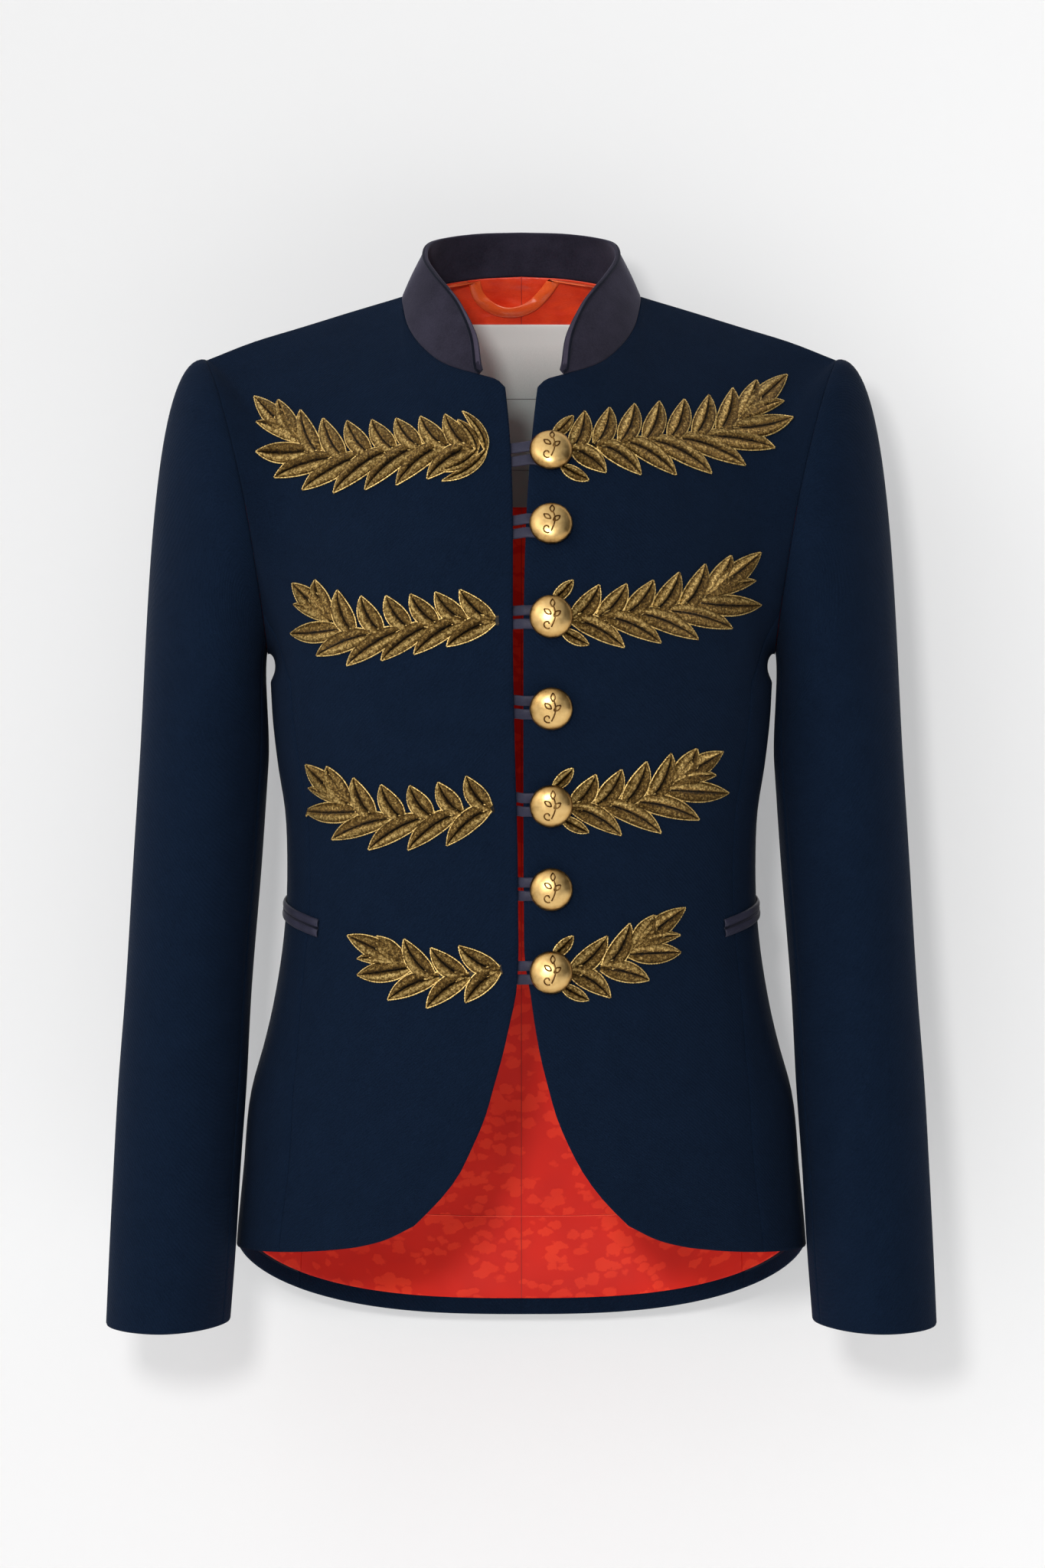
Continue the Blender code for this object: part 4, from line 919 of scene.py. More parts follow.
MATERIALS = {
    "wool": wool(),
    "suede": suede("grey_suede", (0.011, 0.010, 0.017), (0.030, 0.027, 0.044)),
    "facing": suede("plum_facing", (0.040, 0.034, 0.052), (0.070, 0.060, 0.090)),
    # Near-black: the collar's piping, and the painted shade in the jets' gap.
    "piping": suede("collar_piping", (0.002, 0.003, 0.007), (0.005, 0.006, 0.012)),
    "satin": satin("grey_satin", (0.014, 0.014, 0.026), (0.036, 0.035, 0.062), 0.42, shine=0.16),
    "red": jacquard(),
    "red_front": jacquard("red_lining_front", (0.011, 0.050)),
    "red_side": jacquard("red_lining_side", (0.011, -1.0)),
    "red_plain": satin("red_satin", (0.70, 0.030, 0.010), (0.95, 0.085, 0.024), 0.30, 0.5, 0.9),
    "red_hanger": satin("red_hanger_satin", (0.80, 0.060, 0.012), (1.0, 0.180, 0.040), 0.22, 0.6, 0.9),
    "red_stitch": satin("red_stitching", (0.30, 0.012, 0.006), (0.42, 0.018, 0.009), 0.6, 0.0),
    "label": label_satin(),
    "label_line": satin("label_line", (0.05, 0.05, 0.055), (0.08, 0.08, 0.085), 0.6, 0.0),
    "gold": gold_thread(),
    "brass": brass(),
}


# Camera and staging


SENSOR, LENS = 36.0, 122.65
# Backdrop, in metres: a screen behind the blazer, bent into a floor
SCREEN_HALF, SCREEN_DEEP, SCREEN_TOP = 4.0, 0.145, 1.9
SCREEN_FLOOR, SCREEN_BEND, SCREEN_FRONT = -1.25, 0.5, -4.5
PAPER_GLOW, PAPER_EVEN = 0.25, (0.10, 0.0, -0.04)
SKY_AIM, SKY_TINT = (-0.80, -0.40, 0.45), (0.98, 0.985, 1.0)
SKY = (
    # share towards the aim, level
    (0.10, 0.02),
    (0.45, 0.09),
    (0.72, 0.66),
    (0.95, 1.15),
)
LIGHTS = (
    # name, place, aim, width, power, colour
    ("front", (-0.30, -3.0, 0.10), (0.0, 0.0, -0.30), 0.30, 34, (1.0, 0.99, 0.98)),
    ("key", (-1.7, -1.9, 0.9), (0.0, 0.0, -0.25), 1.3, 6, (1.0, 0.98, 0.96)),
    ("rear_left", (0.9, 2.9, 0.7), (0.0, 0.0, -0.30), 1.5, 34, (1.0, 0.99, 0.97)),
    ("rear_right", (-1.0, 2.8, 0.2), (0.0, 0.0, -0.30), 1.5, 26, (0.97, 0.98, 1.0)),
)


def linked(name, data):
    made = bpy.data.objects.new(name, data)
    bpy.context.scene.collection.objects.link(made)
    return made


def backdrop_paper():
    """Pale paper, evened out by a faint glow of its own, and clear from behind."""
    sockets = {"Specular_IOR_Level": 0.0, "Emission_Color": (1.0, 1.0, 1.0, 1.0)}
    made = material("backdrop_paper", grey(0.62), 1.0, **sockets)
    glow = made.maths("ADD", made.towards("Object", PAPER_EVEN), PAPER_GLOW)
    made.link(glow, made.shader.inputs["Emission Strength"])
    behind, clear = made.add("ShaderNodeNewGeometry"), made.add("ShaderNodeBsdfTransparent")
    mix = made.add("ShaderNodeMixShader")
    for i, source in enumerate((behind.outputs["Backfacing"], made.shader.outputs[0], clear.outputs[0])):
        made.link(source, mix.inputs[i])
    made.link(mix.outputs[0], made.tree.nodes["Material Output"].inputs["Surface"])
    return made.owner


def build_backdrop():
    profile = [(SCREEN_DEEP, SCREEN_TOP), (SCREEN_DEEP, SCREEN_FLOOR + SCREEN_BEND)]
    for i in range(1, 13):
        angle = math.radians(90 * i / 12)
        deep, high = SCREEN_BEND * (1 - math.cos(angle)), SCREEN_BEND * (1 - math.sin(angle))
        profile.append((SCREEN_DEEP - deep, SCREEN_FLOOR + high))
    profile.append((SCREEN_FRONT, SCREEN_FLOOR))
    points = [(x, y, z) for y, z in profile for x in (-SCREEN_HALF, SCREEN_HALF)]
    mesh = bpy.data.meshes.new("backdrop")
    mesh.from_pydata(points, [], [face[::-1] for face in quads(len(profile), 2)])
    mesh.polygons.foreach_set("use_smooth", np.full(len(mesh.polygons), True))
    mesh.materials.append(backdrop_paper())
    backdrop = linked("backdrop", mesh)
    backdrop.visible_shadow = False


def build_stage():
    camera = linked("camera", bpy.data.cameras.new("camera"))
    camera.location = Vector(EYE) * MM
    camera.rotation_euler = (math.radians(90), 0, 0)
    camera.data.sensor_width, camera.data.lens, camera.data.clip_end = SENSOR, LENS, 30.0
    bpy.context.scene.camera = camera
    build_backdrop()
    world = bpy.data.worlds.new("studio")
    bpy.context.scene.world = world
    sky = Nodes(world, "Background", Strength=1.0)
    share = sky.maths("MULTIPLY_ADD", sky.towards("Generated", SKY_AIM), 0.5, 0.5)
    levels = [(place, tuple(value * part for part in SKY_TINT)) for place, value in SKY]
    sky.link(sky.ramp(share, levels), sky.shader.inputs["Color"])
    for name, place, aim, width, power, colour in LIGHTS:
        light = bpy.data.lights.new(name, "AREA")
        light.shape, light.size, light.energy, light.color = "DISK", width, power, colour
        made = linked(name, light)
        made.location = place
        made.rotation_euler = (Vector(aim) - Vector(place)).to_track_quat("-Z", "Y").to_euler()
    bpy.context.scene.view_settings.view_transform = "Standard"


# Body, sleeves and collar


def round_throat(points):
    """The front's grid with its corner at the throat rounded off."""
    points = points.copy()
    for column in range(1, 3 * FINER):
        away = abs(points[-1, column, 0] - points[-1, 0, 0])
        share = max(1 - away / THROAT_ROUND, 0.0) ** 2
        points[-1, column] += (points[-2, column] - points[-1, column]) * 0.75 * share
    points[-1, 0] += (points[-2, 0] - points[-1, 0]) * 0.8
    return points


BODY_PANELS = {
    # panel: (insets at hem, top, front seam and back seam, inner surface)
    "front": ((0, SEAM_OVERLAP, 0, SEAM_OVERLAP), "red_front"),
    "side": ((0, SEAM_OVERLAP, SEAM_OVERLAP, SEAM_OVERLAP), "red_side"),
    "back": ((0, SEAM_OVERLAP, SEAM_OVERLAP, -0.1), "wool"),
}


def build_body():
    torso = {side: torso_grids(side) for side in (-1, 1)}
    for side, word in SIDES:
        for panel, (points, normals) in torso[side].items():
            name, (inset, inside) = f"{panel}_{word}", BODY_PANELS[panel]
            shell(
                f"{name}_cloth", round_throat(points) if panel == "front" else points, normals, BODY_WALL,
                ["wool", inside], [name], "navy_wool", inset, level=BELOW_CHEST,
            )
    return torso


def build_sleeve(side, word):
    coarse = sorted(turn % 360 for turn in set(ARM_TURNS) - {-180}) + [360]
    turns = finer(coarse, FINER)
    wrapped = [turns[-2] - 360] + turns + [turns[1] + 360]
    points = np.array([sleeve_column(turn) for turn in wrapped]).transpose(1, 0, 2)
    normals = grid_normals(points)
    target = armhole_normal(points[0])
    for row in range(FINER):
        share = 1 - row / FINER
        normals[row] = unit(normals[row] * (1 - share) + target * share)
    points, normals = mirrored(points[:, 1:-1], side), mirrored(normals[:, 1:-1], side)
    start, stop = (coarse.index(turn) * FINER for turn in UNDER_SLEEVE)
    under = list(range(start, stop + 1))
    top = list(range(stop, len(turns) - 1)) + list(range(0, start + 1))
    for part, columns in (("top", top), ("under", under)):
        name = f"sleeve_{part}_{word}"
        shell(
            f"{name}_cloth", points[:, columns], normals[:, columns], SLEEVE_WALL, ["wool", "red"], [name],
            "navy_wool", (-HEAD_OVERLAP, 0, SEAM_OVERLAP, SEAM_OVERLAP), level=slice(HEAD_ROWS * FINER, None),
        )


def collar_grid():
    stations = finer(list(np.linspace(0, NECK_POINT, NECK_CELLS + 1)), 8)
    stations += finer(list(np.linspace(NECK_POINT, COLLAR_BACK, NECK_CELLS + 1)), 8)[1:]
    half = []
    for station in stations:
        row = smooth(COLLAR, station)
        foot, edge = row[:3], row[3:]
        out = unit(np.array([foot[0] / 74, foot[1] / 62, 0.0]))
        bulge = 0.05 * np.linalg.norm(edge - foot)
        steps = np.linspace(0, 1, COLLAR_ROWS * 6 + 1)
        half.append([foot + (edge - foot) * step + out * bulge * math.sin(math.pi * step) for step in steps])
    half = np.array(half).transpose(1, 0, 2)
    points = np.concatenate([mirrored(half, -1), half[:, -2::-1]], axis=1)
    normals = -grid_normals(points)
    if normals[1, len(stations) - 1][1] < 0:
        normals = -normals
    return points, normals


def round_faces(rings, sides):
    """Faces between closed rings of points, one ring after another."""
    pairs = [(r * sides + i, r * sides + (i + 1) % sides) for r in range(rings - 1) for i in range(sides)]
    return [(a, b, b + sides, a + sides) for a, b in pairs]


def tube(path, radius, sides=8):
    """Points and faces of a tube along a path, its ends closed."""
    path = np.asarray(path, float)
    runs = unit(np.gradient(path, axis=0))
    up = np.array([0.0, 0.0, 1.0]) if abs(runs[0][2]) < 0.9 else np.array([1.0, 0.0, 0.0])
    points = []
    for place, run in zip(path, runs):
        side = unit(np.cross(run, up))
        up = unit(np.cross(side, run))
        for i in range(sides):
            angle = 2 * math.pi * i / sides
            points.append(place + (side * math.cos(angle) + up * math.sin(angle)) * radius)
    ends = [tuple(range(sides))[::-1], tuple(range((len(path) - 1) * sides, len(path) * sides))]
    return points, round_faces(len(path), sides) + ends


def build_collar():
    points, normals = collar_grid()
    shell(
        "collar_cloth", points, normals, COLLAR_WALL, ["suede", "suede"], ["collar"], "grey_suede",
        (-0.3, 0, 0, 0), 0.7, 1.2,
    )
    rows, columns = points.shape[:2]
    line, above = [], []
    for column in range(columns):
        tall = np.linalg.norm(points[-1, column] - points[0, column])
        away = min(column, columns - 1 - column) / (columns / 2)
        drop = min(1.7 + PIPING_DROP * math.exp(-((away / 0.16) ** 2)), 0.7 * tall)
        share = (1 - drop / max(tall, 1e-6)) * (rows - 1)
        low = min(int(share), rows - 2)
        pair = [grid[low : low + 2, column] for grid in (points, normals)]
        place, normal = (first + (second - first) * (share - low) for first, second in pair)
        steps = np.linspace(0, 0.92, 4)
        line.append(place)
        above.append([place + (points[-1, column] - place) * step + normal * 0.12 for step in steps])
    piece("collar_piping", *tube(line, 1.0), ["piping"], [], "grey_suede")
    ends = int(columns * 0.17)
    for word, picked in (("right", slice(1, ends)), ("left", slice(columns - ends, columns - 1))):
        band, name = np.array(above[picked]), f"collar_facing_{word}"
        piece(name, band.reshape(-1, 3), quads(*band.shape[:2]), ["facing"], [], "grey_suede")


# Embroidery


def along_stalk(stalk, share):
    """Point and heading at a share of the length of a smooth line through these points."""
    points = np.array(stalk, float)
    lengths = run_lengths(points)
    keys = lengths / lengths[-1]
    slopes = np.gradient(points, keys, axis=0)
    before, here, after = (on_curve(keys, points, slopes, share + step) for step in (-0.02, 0.0, 0.02))
    return here, math.atan2(after[1] - before[1], after[0] - before[0])


def leaf_to(foot, heading, tip, width):
    """Foot, heading, chord, bend and width of a leaf that leaves along the stalk and curves to its tip."""
    chord = tip - foot
    turn = math.atan2(chord[1], chord[0])
    away = (turn - heading + math.pi) % (2 * math.pi) - math.pi
    bend = min(max(math.tan(0.65 * away), -LEAF_BEND), LEAF_BEND)
    return foot, turn - math.atan(bend), float(np.linalg.norm(chord)), bend, width


def spray_leaves(stalk, upper, lower, end, above, below, closed):
    """The leaves of a spray: those above, those below, the two at its end and those that close its start."""
    facing = 1 if stalk[-1][0] > stalk[0][0] else -1
    start = 0.07 if closed else 0.02
    leaves = []
    for count, tips, last in ((above, upper, 0.97), (below, lower, 0.90)):
        for i in range(count):
            foot, heading = along_stalk(stalk, start + (last - start) * i / (count - 1))
            lowest = tips is lower and i == count - 1
            tip = along_stalk(tips, i / (count - 1))[0]
            leaves.append(leaf_to(foot, heading - LOWEST_TURN * facing * lowest, tip, LEAF_WIDTH))
    foot, heading = along_stalk(stalk, 0.98)
    leaves.append(leaf_to(foot, heading, np.array(end, float), LEAF_WIDTH))
    turn, size, width = SMALL_LEAF
    c, s = heading_of(turn * facing)
    chord = (np.array(end, float) - foot) * size
    tip = foot + np.array([chord[0] * c - chord[1] * s, chord[0] * s + chord[1] * c])
    leaves.append(leaf_to(foot, heading, tip, LEAF_WIDTH * width))
    for turn, size, bend, inward in CLOSED_END if closed else ():
        foot = np.array(stalk[0], float) + np.array([inward * facing, 0.0])
        heading = math.radians(turn if facing > 0 else 180 - turn)
        leaves.append((foot, heading, size, bend * facing, CLOSED_WIDTH))
    return leaves


LEAF_STEPS = np.linspace(0, 1, 17)
LOBE_WITH_PAINTED_LIGHT = (
    # share of the half width, height, lightness (painted shade at the edges and midrib, painted highlight on
    # the lobes, the second lobe lit more)
    (-1.00, 0.00, 0.00),
    (-0.96, 0.34, 0.20),
    (-0.84, 0.62, 0.60),
    (-0.62, 0.92, 0.78),
    (-0.36, 1.00, 0.70),
    (-0.14, 0.70, 0.45),
    (-0.05, 0.28, 0.00),
    (0.00, 0.22, 0.00),
    (0.05, 0.28, 0.00),
    (0.14, 0.70, 0.55),
    (0.36, 1.00, 0.92),
    (0.62, 0.92, 1.00),
    (0.84, 0.62, 0.75),
    (0.96, 0.34, 0.30),
    (1.00, 0.00, 0.00),
)


def leaf_mesh(one, cloth, lift):
    """Points, faces, painted lightness (painted shade and highlight) and stitch map of one padded leaf of two
    lobes, and its outline.
    """
    foot, heading, chord, bend, width = one
    length = chord / math.hypot(1, bend)
    along = heading_of(heading)
    across = np.array([-along[1], along[0]])
    points, light, stitch, rims = [], [], [], ([], [])
    for share in LEAF_STEPS:
        middle = foot + (along * share + across * bend * share * share) * length
        run = unit(along + across * 2 * bend * share)
        side = np.array([-run[1], run[0]])
        half = width / 2 * float(smooth(LEAF_OUTLINE, share)[0])
        full = min(1.0, 0.35 + share * 3.2) * min(1.0, 0.30 + (1 - share) * 4.5)
        for reach, height, shine in LOBE_WITH_PAINTED_LIGHT:
            point, normal = cloth.at(*(middle + side * half * reach))
            sunk = 0.5 if abs(reach) == 1 else 0
            points.append(point + normal * (LEAF_BASE + lift + LEAF_RISE * height * full - sunk))
            # Painted shade and highlight from the table; the tip gets a middling painted lightness.
            light.append(shine if share < 0.97 else 0.6)
            stitch.append((abs(reach) * half * MM, (share * length - abs(reach) * half * 0.9) * MM))
            if sunk:
                rims[0 if reach < 0 else 1].append(point + normal * (LEAF_BASE + lift + 0.35))
    return points, flipped(quads(len(LEAF_STEPS), len(LOBE_WITH_PAINTED_LIGHT))), light, stitch, rims


def edge_cord(path):
    """A twisted edge cord: a thin tube whose thickness swells at each stitch."""
    path = np.asarray(path, float)
    lengths = run_lengths(path)
    count = max(int(lengths[-1] / STITCH_PITCH * 2), 4)
    stops = np.linspace(0, lengths[-1], count)
    fine = np.column_stack([np.interp(stops, lengths, path[:, i]) for i in range(3)])
    points, faces = tube(fine, EDGE_CORD, 5)
    swell = np.where(np.arange(count) % 2 == 0, 1.25, 0.7)[:, None, None]
    points = fine[:, None] + (np.array(points).reshape(count, 5, 3) - fine[:, None]) * swell
    return points.reshape(-1, 3), faces


class Gathered:
    """Meshes gathered into one, with a painted lightness (painted shade and highlight) and a place in the
    stitching at each point.
    """

    def __init__(self):
        self.points, self.faces, self.light, self.stitch = [], [], [], []

    def add(self, points, faces, light, stitch=None):
        count = len(self.points)
        self.points += list(points)
        self.faces += [tuple(i + count for i in face) for face in faces]
        self.light += light if isinstance(light, list) else [light] * len(points)
        self.stitch += stitch or [(0.0, 0.0)] * len(points)


def build_laurel(name, cloth):
    leaves = spray_leaves(*SPRAYS[name], closed=name == CLOSED_SPRAY)
    if "left" in name:
        centre = np.array([BUTTON_ACROSS, BUTTON_HEIGHTS[2 * int(name[-1]) - 2]])
        for turn, heading, size in ARC_LEAVES:
            foot = centre + ARC_RADIUS * heading_of(math.radians(turn))
            leaves.append((foot, math.radians(heading), size, 0.1, ARC_LEAF_WIDTH))
    made = Gathered()
    for number, one in enumerate(leaves):
        *leaf, rims = leaf_mesh(one, cloth, 0.12 * (number % 3))
        made.add(*leaf)
        for rim in rims:
            # The edge cords get a painted highlight, lighter than any lobe.
            made.add(*edge_cord(rim), 1.35)
    ribbon = []
    for place, heading in (along_stalk(SPRAYS[name][0], share) for share in np.linspace(0.0, 0.98, 40)):
        side = np.array([-math.sin(heading), math.cos(heading)]) * STALK_WIDTH
        found = [cloth.at(*(place + side * reach)) for reach in (-1.0, 0.0, 1.0)]
        ribbon += [point + normal * LEAF_BASE for point, normal in found]
    # The stalk under the leaves gets the darkest painted shade, as shade between the leaves.
    made.add(ribbon, flipped(quads(len(ribbon) // 3, 3)), 0.0)
    # rise carries the painted shade and highlight to the gold thread.
    extras = {"rise": made.light, "stitch": made.stitch}
    piece(f"{name}_stitched", made.points, made.faces, ["gold"], [name], "gold_thread", extras=extras)


# Buttons and loops


def loop_edges(fronts, height):
    return fronts["right"].front_edge(height) + LOOP_CLEAR, fronts["left"].front_edge(height) - LOOP_CLEAR


def beside_edge(across, limit):
    return max(across, limit) if limit > 0 else min(across, limit)


def loop_depth(fronts, across, height):
    """Point and normal under a loop: on the left front, under the right front, or between them."""
    right_edge, left_edge = loop_edges(fronts, height)
    inside = beside_edge(max(across, left_edge), left_edge + 0.9)
    here, normal = fronts["left"].at(inside, height)
    here = here + np.array([max(across, left_edge) - inside, 0, 0]) + normal * REST_GAP
    if across >= left_edge:
        return here, normal
    inside = beside_edge(min(across, right_edge), right_edge - 0.9)
    far, far_normal = fronts["right"].at(inside, height)
    far = far + np.array([min(across, right_edge) - inside, 0, 0])
    far = far - far_normal * (BODY_WALL + REST_GAP + LOOP_THICK)
    if across <= right_edge:
        return far, far_normal
    share = (across - left_edge) / (right_edge - left_edge)
    return here * (1 - share) + far * share, unit(normal * (1 - share) + far_normal * share)


def build_loop(number, height, fronts):
    """A flat satin strip folded round the button's shank, its two ends under the right front."""
    levels = np.linspace(0, 1, 7)
    strands = []
    for way in (1, -1):
        strand = []
        for step in np.linspace(0, 1, 15):
            spread = LOOP_GAP / 2 + (LOOP_EYE - LOOP_GAP / 2) * max(0.0, (step - 0.6) / 0.4)
            pair = []
            for z in height + (spread + LOOP_WIDTH * levels) * way:
                start = loop_edges(fronts, z)[0] - LOOP_TAIL
                pair.append((start + (BUTTON_ACROSS - start) * step, z))
            strand.append(pair)
        strands.append(strand)
    bend = []
    for angle in np.linspace(75, -75, 9):
        c, s = heading_of(math.radians(angle))
        reaches = LOOP_EYE + LOOP_WIDTH * levels
        bend.append([(BUTTON_ACROSS + reach * c, height + reach * s) for reach in reaches])
    rows = strands[0] + bend + strands[1][::-1]
    points, normals = placed([[loop_depth(fronts, *place) for place in pair] for pair in rows])
    crown = 0.35 * np.sin(np.pi * levels)[None, :, None]
    shell(
        f"loop_{number}_satin", points + normals * (LOOP_THICK + crown), normals, LOOP_THICK,
        ["satin"], [f"loop_{number}"], "grey_satin", roll=0.25, rim=0.5, held=None,
    )


def button_profile():
    """Radius and height of the button from its shank's foot to the middle of its dome."""
    rows = [(0.0, REST_GAP), (SHANK_RADIUS, REST_GAP), (SHANK_RADIUS, BUTTON_BACK)]
    for inward, rise in ((2.2, 0.0), (0.9, 0.35), (0.2, 1.0), (0.0, DOME_FOOT)):
        rows.append((BUTTON_RADIUS - inward, BUTTON_BACK + rise))
    for angle in np.radians(90 * np.arange(1, 17) / 16):
        high = BUTTON_BACK + DOME_FOOT + (BUTTON_TOP - DOME_FOOT) * math.sin(angle)
        rows.append((BUTTON_RADIUS * max(math.cos(angle), 0.0) ** DOME_POWER, high))
    return rows


def dome_height(radius):
    share = min(radius / BUTTON_RADIUS, 1.0) ** (1 / DOME_POWER)
    return BUTTON_BACK + DOME_FOOT + (BUTTON_TOP - DOME_FOOT) * math.sqrt(max(0.0, 1 - share * share))


def sprig():
    """A generic engraved sprig: a curling stem with three leaves, as lines on the button's face."""
    lines = [[(math.sin(t * 2.6) * 1.6, -4.6 + 8.6 * t) for t in np.linspace(0, 1, 14)]]
    for x, y, turn, size in ((0.5, 3.6, 90, 3.4), (-0.1, 0.6, 142, 3.6), (0.9, -0.2, 38, 3.6)):
        c, s = heading_of(math.radians(turn))
        for way in (1, -1):
            blade = []
            for t in np.linspace(0, 1, 8):
                reach, wide = size * t, way * 0.9 * math.sin(math.pi * t)
                blade.append((x + reach * c - wide * s, y + reach * s + wide * c))
            lines.append(blade)
    turns = [(t, 0.6 + 0.26 * t) for t in np.linspace(0, 5.2, 18)]
    return lines + [[(-1.6 + math.cos(t) * reach, -3.4 + math.sin(t) * reach) for t, reach in turns]]


def build_button(number, height, cloth):
    point, normal = cloth.at(BUTTON_ACROSS, height)
    place = np.array(Vector(normal).to_track_quat("Z", "Y").to_matrix())
    sides, profile = 56, button_profile()
    points, light = [], []
    for radius, rise in profile:
        # Painted shade: the face is evenly light and darkens towards the rim.
        light += [0.8 - 0.75 * min(max((radius / BUTTON_RADIUS - 0.72) / 0.26, 0.0), 1.0)] * sides
        for angle in (2 * math.pi * i / sides for i in range(sides)):
            points.append((radius * math.cos(angle), radius * math.sin(angle), rise))
    made = Gathered()
    made.add(points, round_faces(len(profile), sides), light)
    for line in sprig():
        grown = [(x * SPRIG_SCALE, y * SPRIG_SCALE) for x, y in line]
        path = [(x, y, dome_height(math.hypot(x, y)) + 0.12) for x, y in grown]
        # The engraved lines get painted shade, the darkest tone of the brass.
        made.add(*tube(path, SPRIG_LINE, 6), -0.15)
    points, name = np.array(made.points) @ place.T + point, f"button_{number}"
    piece(f"{name}_brass", points, made.faces, ["brass"], [name], "satin_brass", extras={"rise": made.light})


def on_jet(cloth, side, step, rise):
    """Point and normal of the cloth at a place of the jets' run, this far above its middle."""
    high = float(smooth(JET_RUN, step)[0]) + rise
    axis = np.array([0.0, 0.0, high])
    return cloth.meet(axis, mirrored(ring(math.radians(step), high), side) - axis)


def build_jets(side, word, torso):
    front, middle = torso["front"], torso["side"]
    cloth = Cloth(*(np.concatenate([front[i], middle[i][:, 1:]], axis=1) for i in (0, 1)))
    steps = np.linspace(JET_RUN[0][0], JET_RUN[-1][0], 33)
    found = [on_jet(cloth, side, step, 0.0) for step in steps]
    path = [point + normal * (REST_GAP + JET_THICK * 0.5) for point, normal in found]
    # A near-black tube between the jets paints the shade in the pocket's opening.
    piece(f"jet_gap_painted_shade_{word}", *tube(path, 0.85), ["piping"], [], "navy_wool")
    levels = np.linspace(0, 1, 7)
    crown = JET_THICK * (0.45 + 0.75 * np.sin(math.pi * (0.12 + 0.76 * levels)))[None, :, None]
    for place, shift in (("upper", 1), ("lower", -1)):
        rises = (JET_APART / 2 + JET_HEIGHT * levels) * shift
        points, normals = placed([[on_jet(cloth, side, step, rise) for rise in rises] for step in steps])
        name = f"jet_{place}_{word}"
        shell(
            f"{name}_satin", points + normals * (REST_GAP + crown), normals, JET_THICK * 0.8,
            ["satin"], [name], "grey_satin", roll=0.5, rim=0.6, held=None,
        )


# Inside the back


def relevelled(points, new_levels):
    """The grid with each column read again at other heights."""
    columns = []
    for column in points.transpose(1, 0, 2):
        levels = new_levels(column[:, 2])
        columns.append(np.column_stack([np.interp(levels, column[:, 2], column[:, i]) for i in range(3)]))
    return np.array(columns).transpose(1, 0, 2)


def even_levels(keys):
    return np.linspace(keys[0] + HEM_STRIP, keys[-1], len(keys))


def raised_levels(keys):
    tall = keys[-1] - keys[0]
    return keys[0] + HEM_STRIP + (keys - keys[0]) * (tall - HEM_STRIP) / tall


def build_lining(torso):
    """The back's lining and yoke, the side linings and their seams. Gives the surface under the label."""
    points, normals = (
        np.concatenate([torso[-1]["back"][i], torso[1]["back"][i][:, -2::-1]], axis=1) for i in (0, 1)
    )
    inside = BODY_WALL + REST_GAP
    seam = (LOWER_ROWS + UPPER_ROWS - 1) * FINER
    body = relevelled(points[: seam + 1], even_levels)
    facing = grid_normals(body)
    if np.sum(facing[5, 5] * normals[5, 5]) < 0:
        facing = -facing
    shell(
        "lining_back_satin", body, facing, LINING_WALL, ["red"], ["lining_back"], "red_lining",
        (0, SEAM_GAP / 2, 0.05, 0.05), 0.2, 0.8, inside, "hung", BELOW_CHEST,
    )
    for side, word in SIDES:
        panel, outward = torso[side]["side"]
        shell(
            f"lining_side_{word}", relevelled(panel, raised_levels), outward, LINING_WALL, ["red"], [],
            "red_lining", (0, 1.0, 0.2, 0.05), 0.1, 0.8, inside, "hung", BELOW_CHEST,
        )
    first = (sum(1 for turn in ARM_TURNS if 0 < turn <= SEAM_TURN) + 1) * FINER
    top = slice(first, points.shape[1] - first)
    shell(
        "yoke_satin", points[seam:, top], normals[seam:, top], LINING_WALL, ["red_plain"], ["yoke"],
        "red_lining", (SEAM_GAP / 2, SEAM_GAP, SEAM_GAP, SEAM_GAP), 0.2, 0.8, inside,
    )
    depth = inside + LINING_WALL
    inner = points - normals * depth
    middle, hem = points.shape[1] // 2, 2 * FINER - 4
    lower = body[:-1, middle] - facing[:-1, middle] * (depth + 0.05)
    centre = np.concatenate([lower, inner[seam:, middle]])
    stitching = body[hem, 8:-8] - facing[hem, 8:-8] * depth
    piece("lining_centre_seam", *tube(centre, 0.26, 6), ["red_stitch"], [], "red_lining")
    piece("lining_hem_stitching", *tube(stitching, 0.32, 6), ["red_plain"], [], "red_lining")
    return Cloth(inner, -normals)


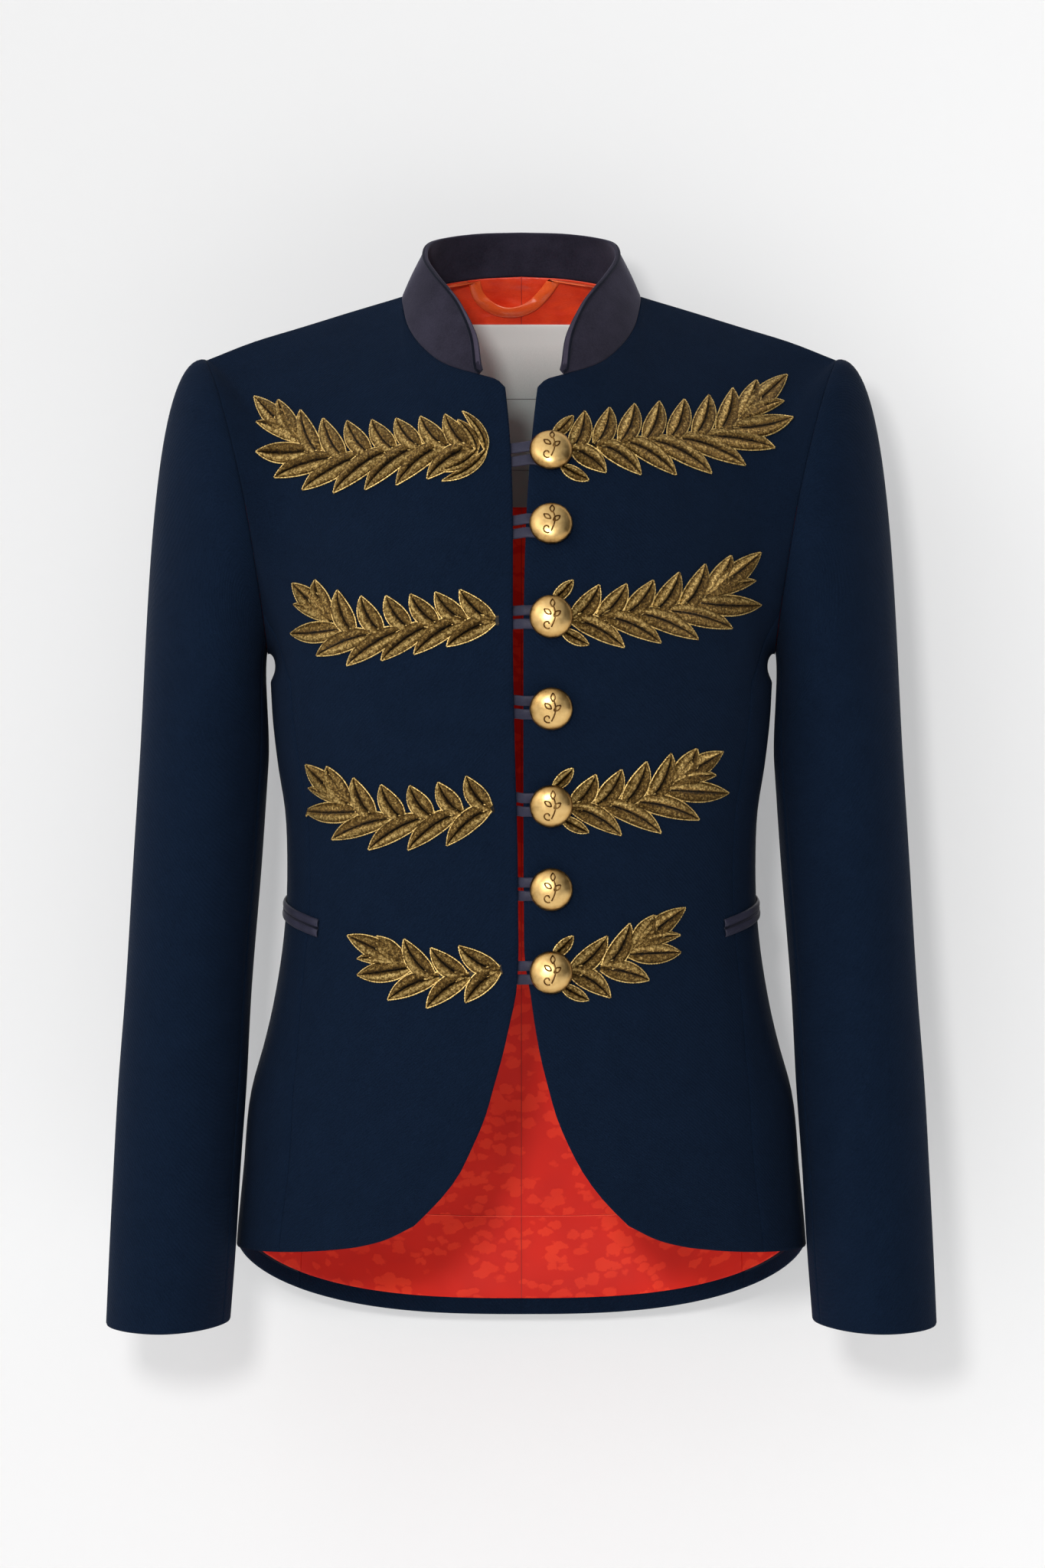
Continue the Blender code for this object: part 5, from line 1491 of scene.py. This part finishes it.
def build_label(inner):
    across = np.linspace(-LABEL_HALF_WIDTH, LABEL_HALF_WIDTH, 33)
    levels = np.linspace(LABEL_BOTTOM, LABEL_TOP, 41)
    points, normals = placed([[inner.at(x, z) for x in across] for z in levels])
    lift = REST_GAP + LINING_WALL
    shell(
        "label_satin", points + normals * lift, normals, LINING_WALL, ["label"], ["label"], "label_satin",
        roll=0.2, rim=0.8,
    )
    for number, height in enumerate(LABEL_LINES, 1):
        found = [inner.at(x, height) for x in np.linspace(-LABEL_LINE_HALF, LABEL_LINE_HALF, 25)]
        path = [point + normal * (lift + 0.05) for point, normal in found]
        piece(f"label_line_{number}", *tube(path, 0.22, 6), ["label_line"], [], "label_satin")


def build_hanger(inner):
    levels = np.linspace(-1, 1, 9)
    found, rises = [], []
    for share in np.linspace(0, 1, 41):
        middle, heading = along_stalk(HANGER_RUN, share)
        side = np.array([-math.sin(heading), math.cos(heading)]) * HANGER_WIDTH / 2
        found.append([inner.at(*(middle + side * way)) for way in levels])
        twist = math.sin(0.9 * math.sin(math.pi * share) * math.sin(math.pi * (share * 1.6 - 0.2)))
        rises.append(1.2 * np.sin(np.linspace(0, math.pi, 9)) + (levels * twist + abs(twist)) * 2.6)
    points, normals = placed(found)
    lift = (REST_GAP + 0.3 + HANGER_THICK + np.array(rises))[..., None]
    shell(
        "hanger_loop_satin", points + normals * lift, normals, HANGER_THICK * 0.8, ["red_hanger"],
        ["hanger_loop"], "red_lining", roll=0.3, rim=0.6, held=None,
    )


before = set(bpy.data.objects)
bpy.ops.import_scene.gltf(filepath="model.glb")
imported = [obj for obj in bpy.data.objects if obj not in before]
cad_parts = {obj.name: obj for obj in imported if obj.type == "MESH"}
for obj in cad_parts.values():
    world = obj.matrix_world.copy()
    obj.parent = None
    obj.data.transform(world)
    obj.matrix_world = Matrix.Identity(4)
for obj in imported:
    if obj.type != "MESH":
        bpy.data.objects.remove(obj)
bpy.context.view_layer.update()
build_stage()
torso = build_body()
for side, word in SIDES:
    build_sleeve(side, word)
    build_jets(side, word, torso[side])
build_collar()
fronts = {word: Cloth(*torso[side]["front"]) for side, word in SIDES}
for name in SPRAYS:
    build_laurel(name, fronts[name.split("_")[1]])
for number, height in enumerate(BUTTON_HEIGHTS, 1):
    build_loop(number, height, fronts)
    build_button(number, height, fronts["left"])
inner = build_lining(torso)
build_label(inner)
build_hanger(inner)
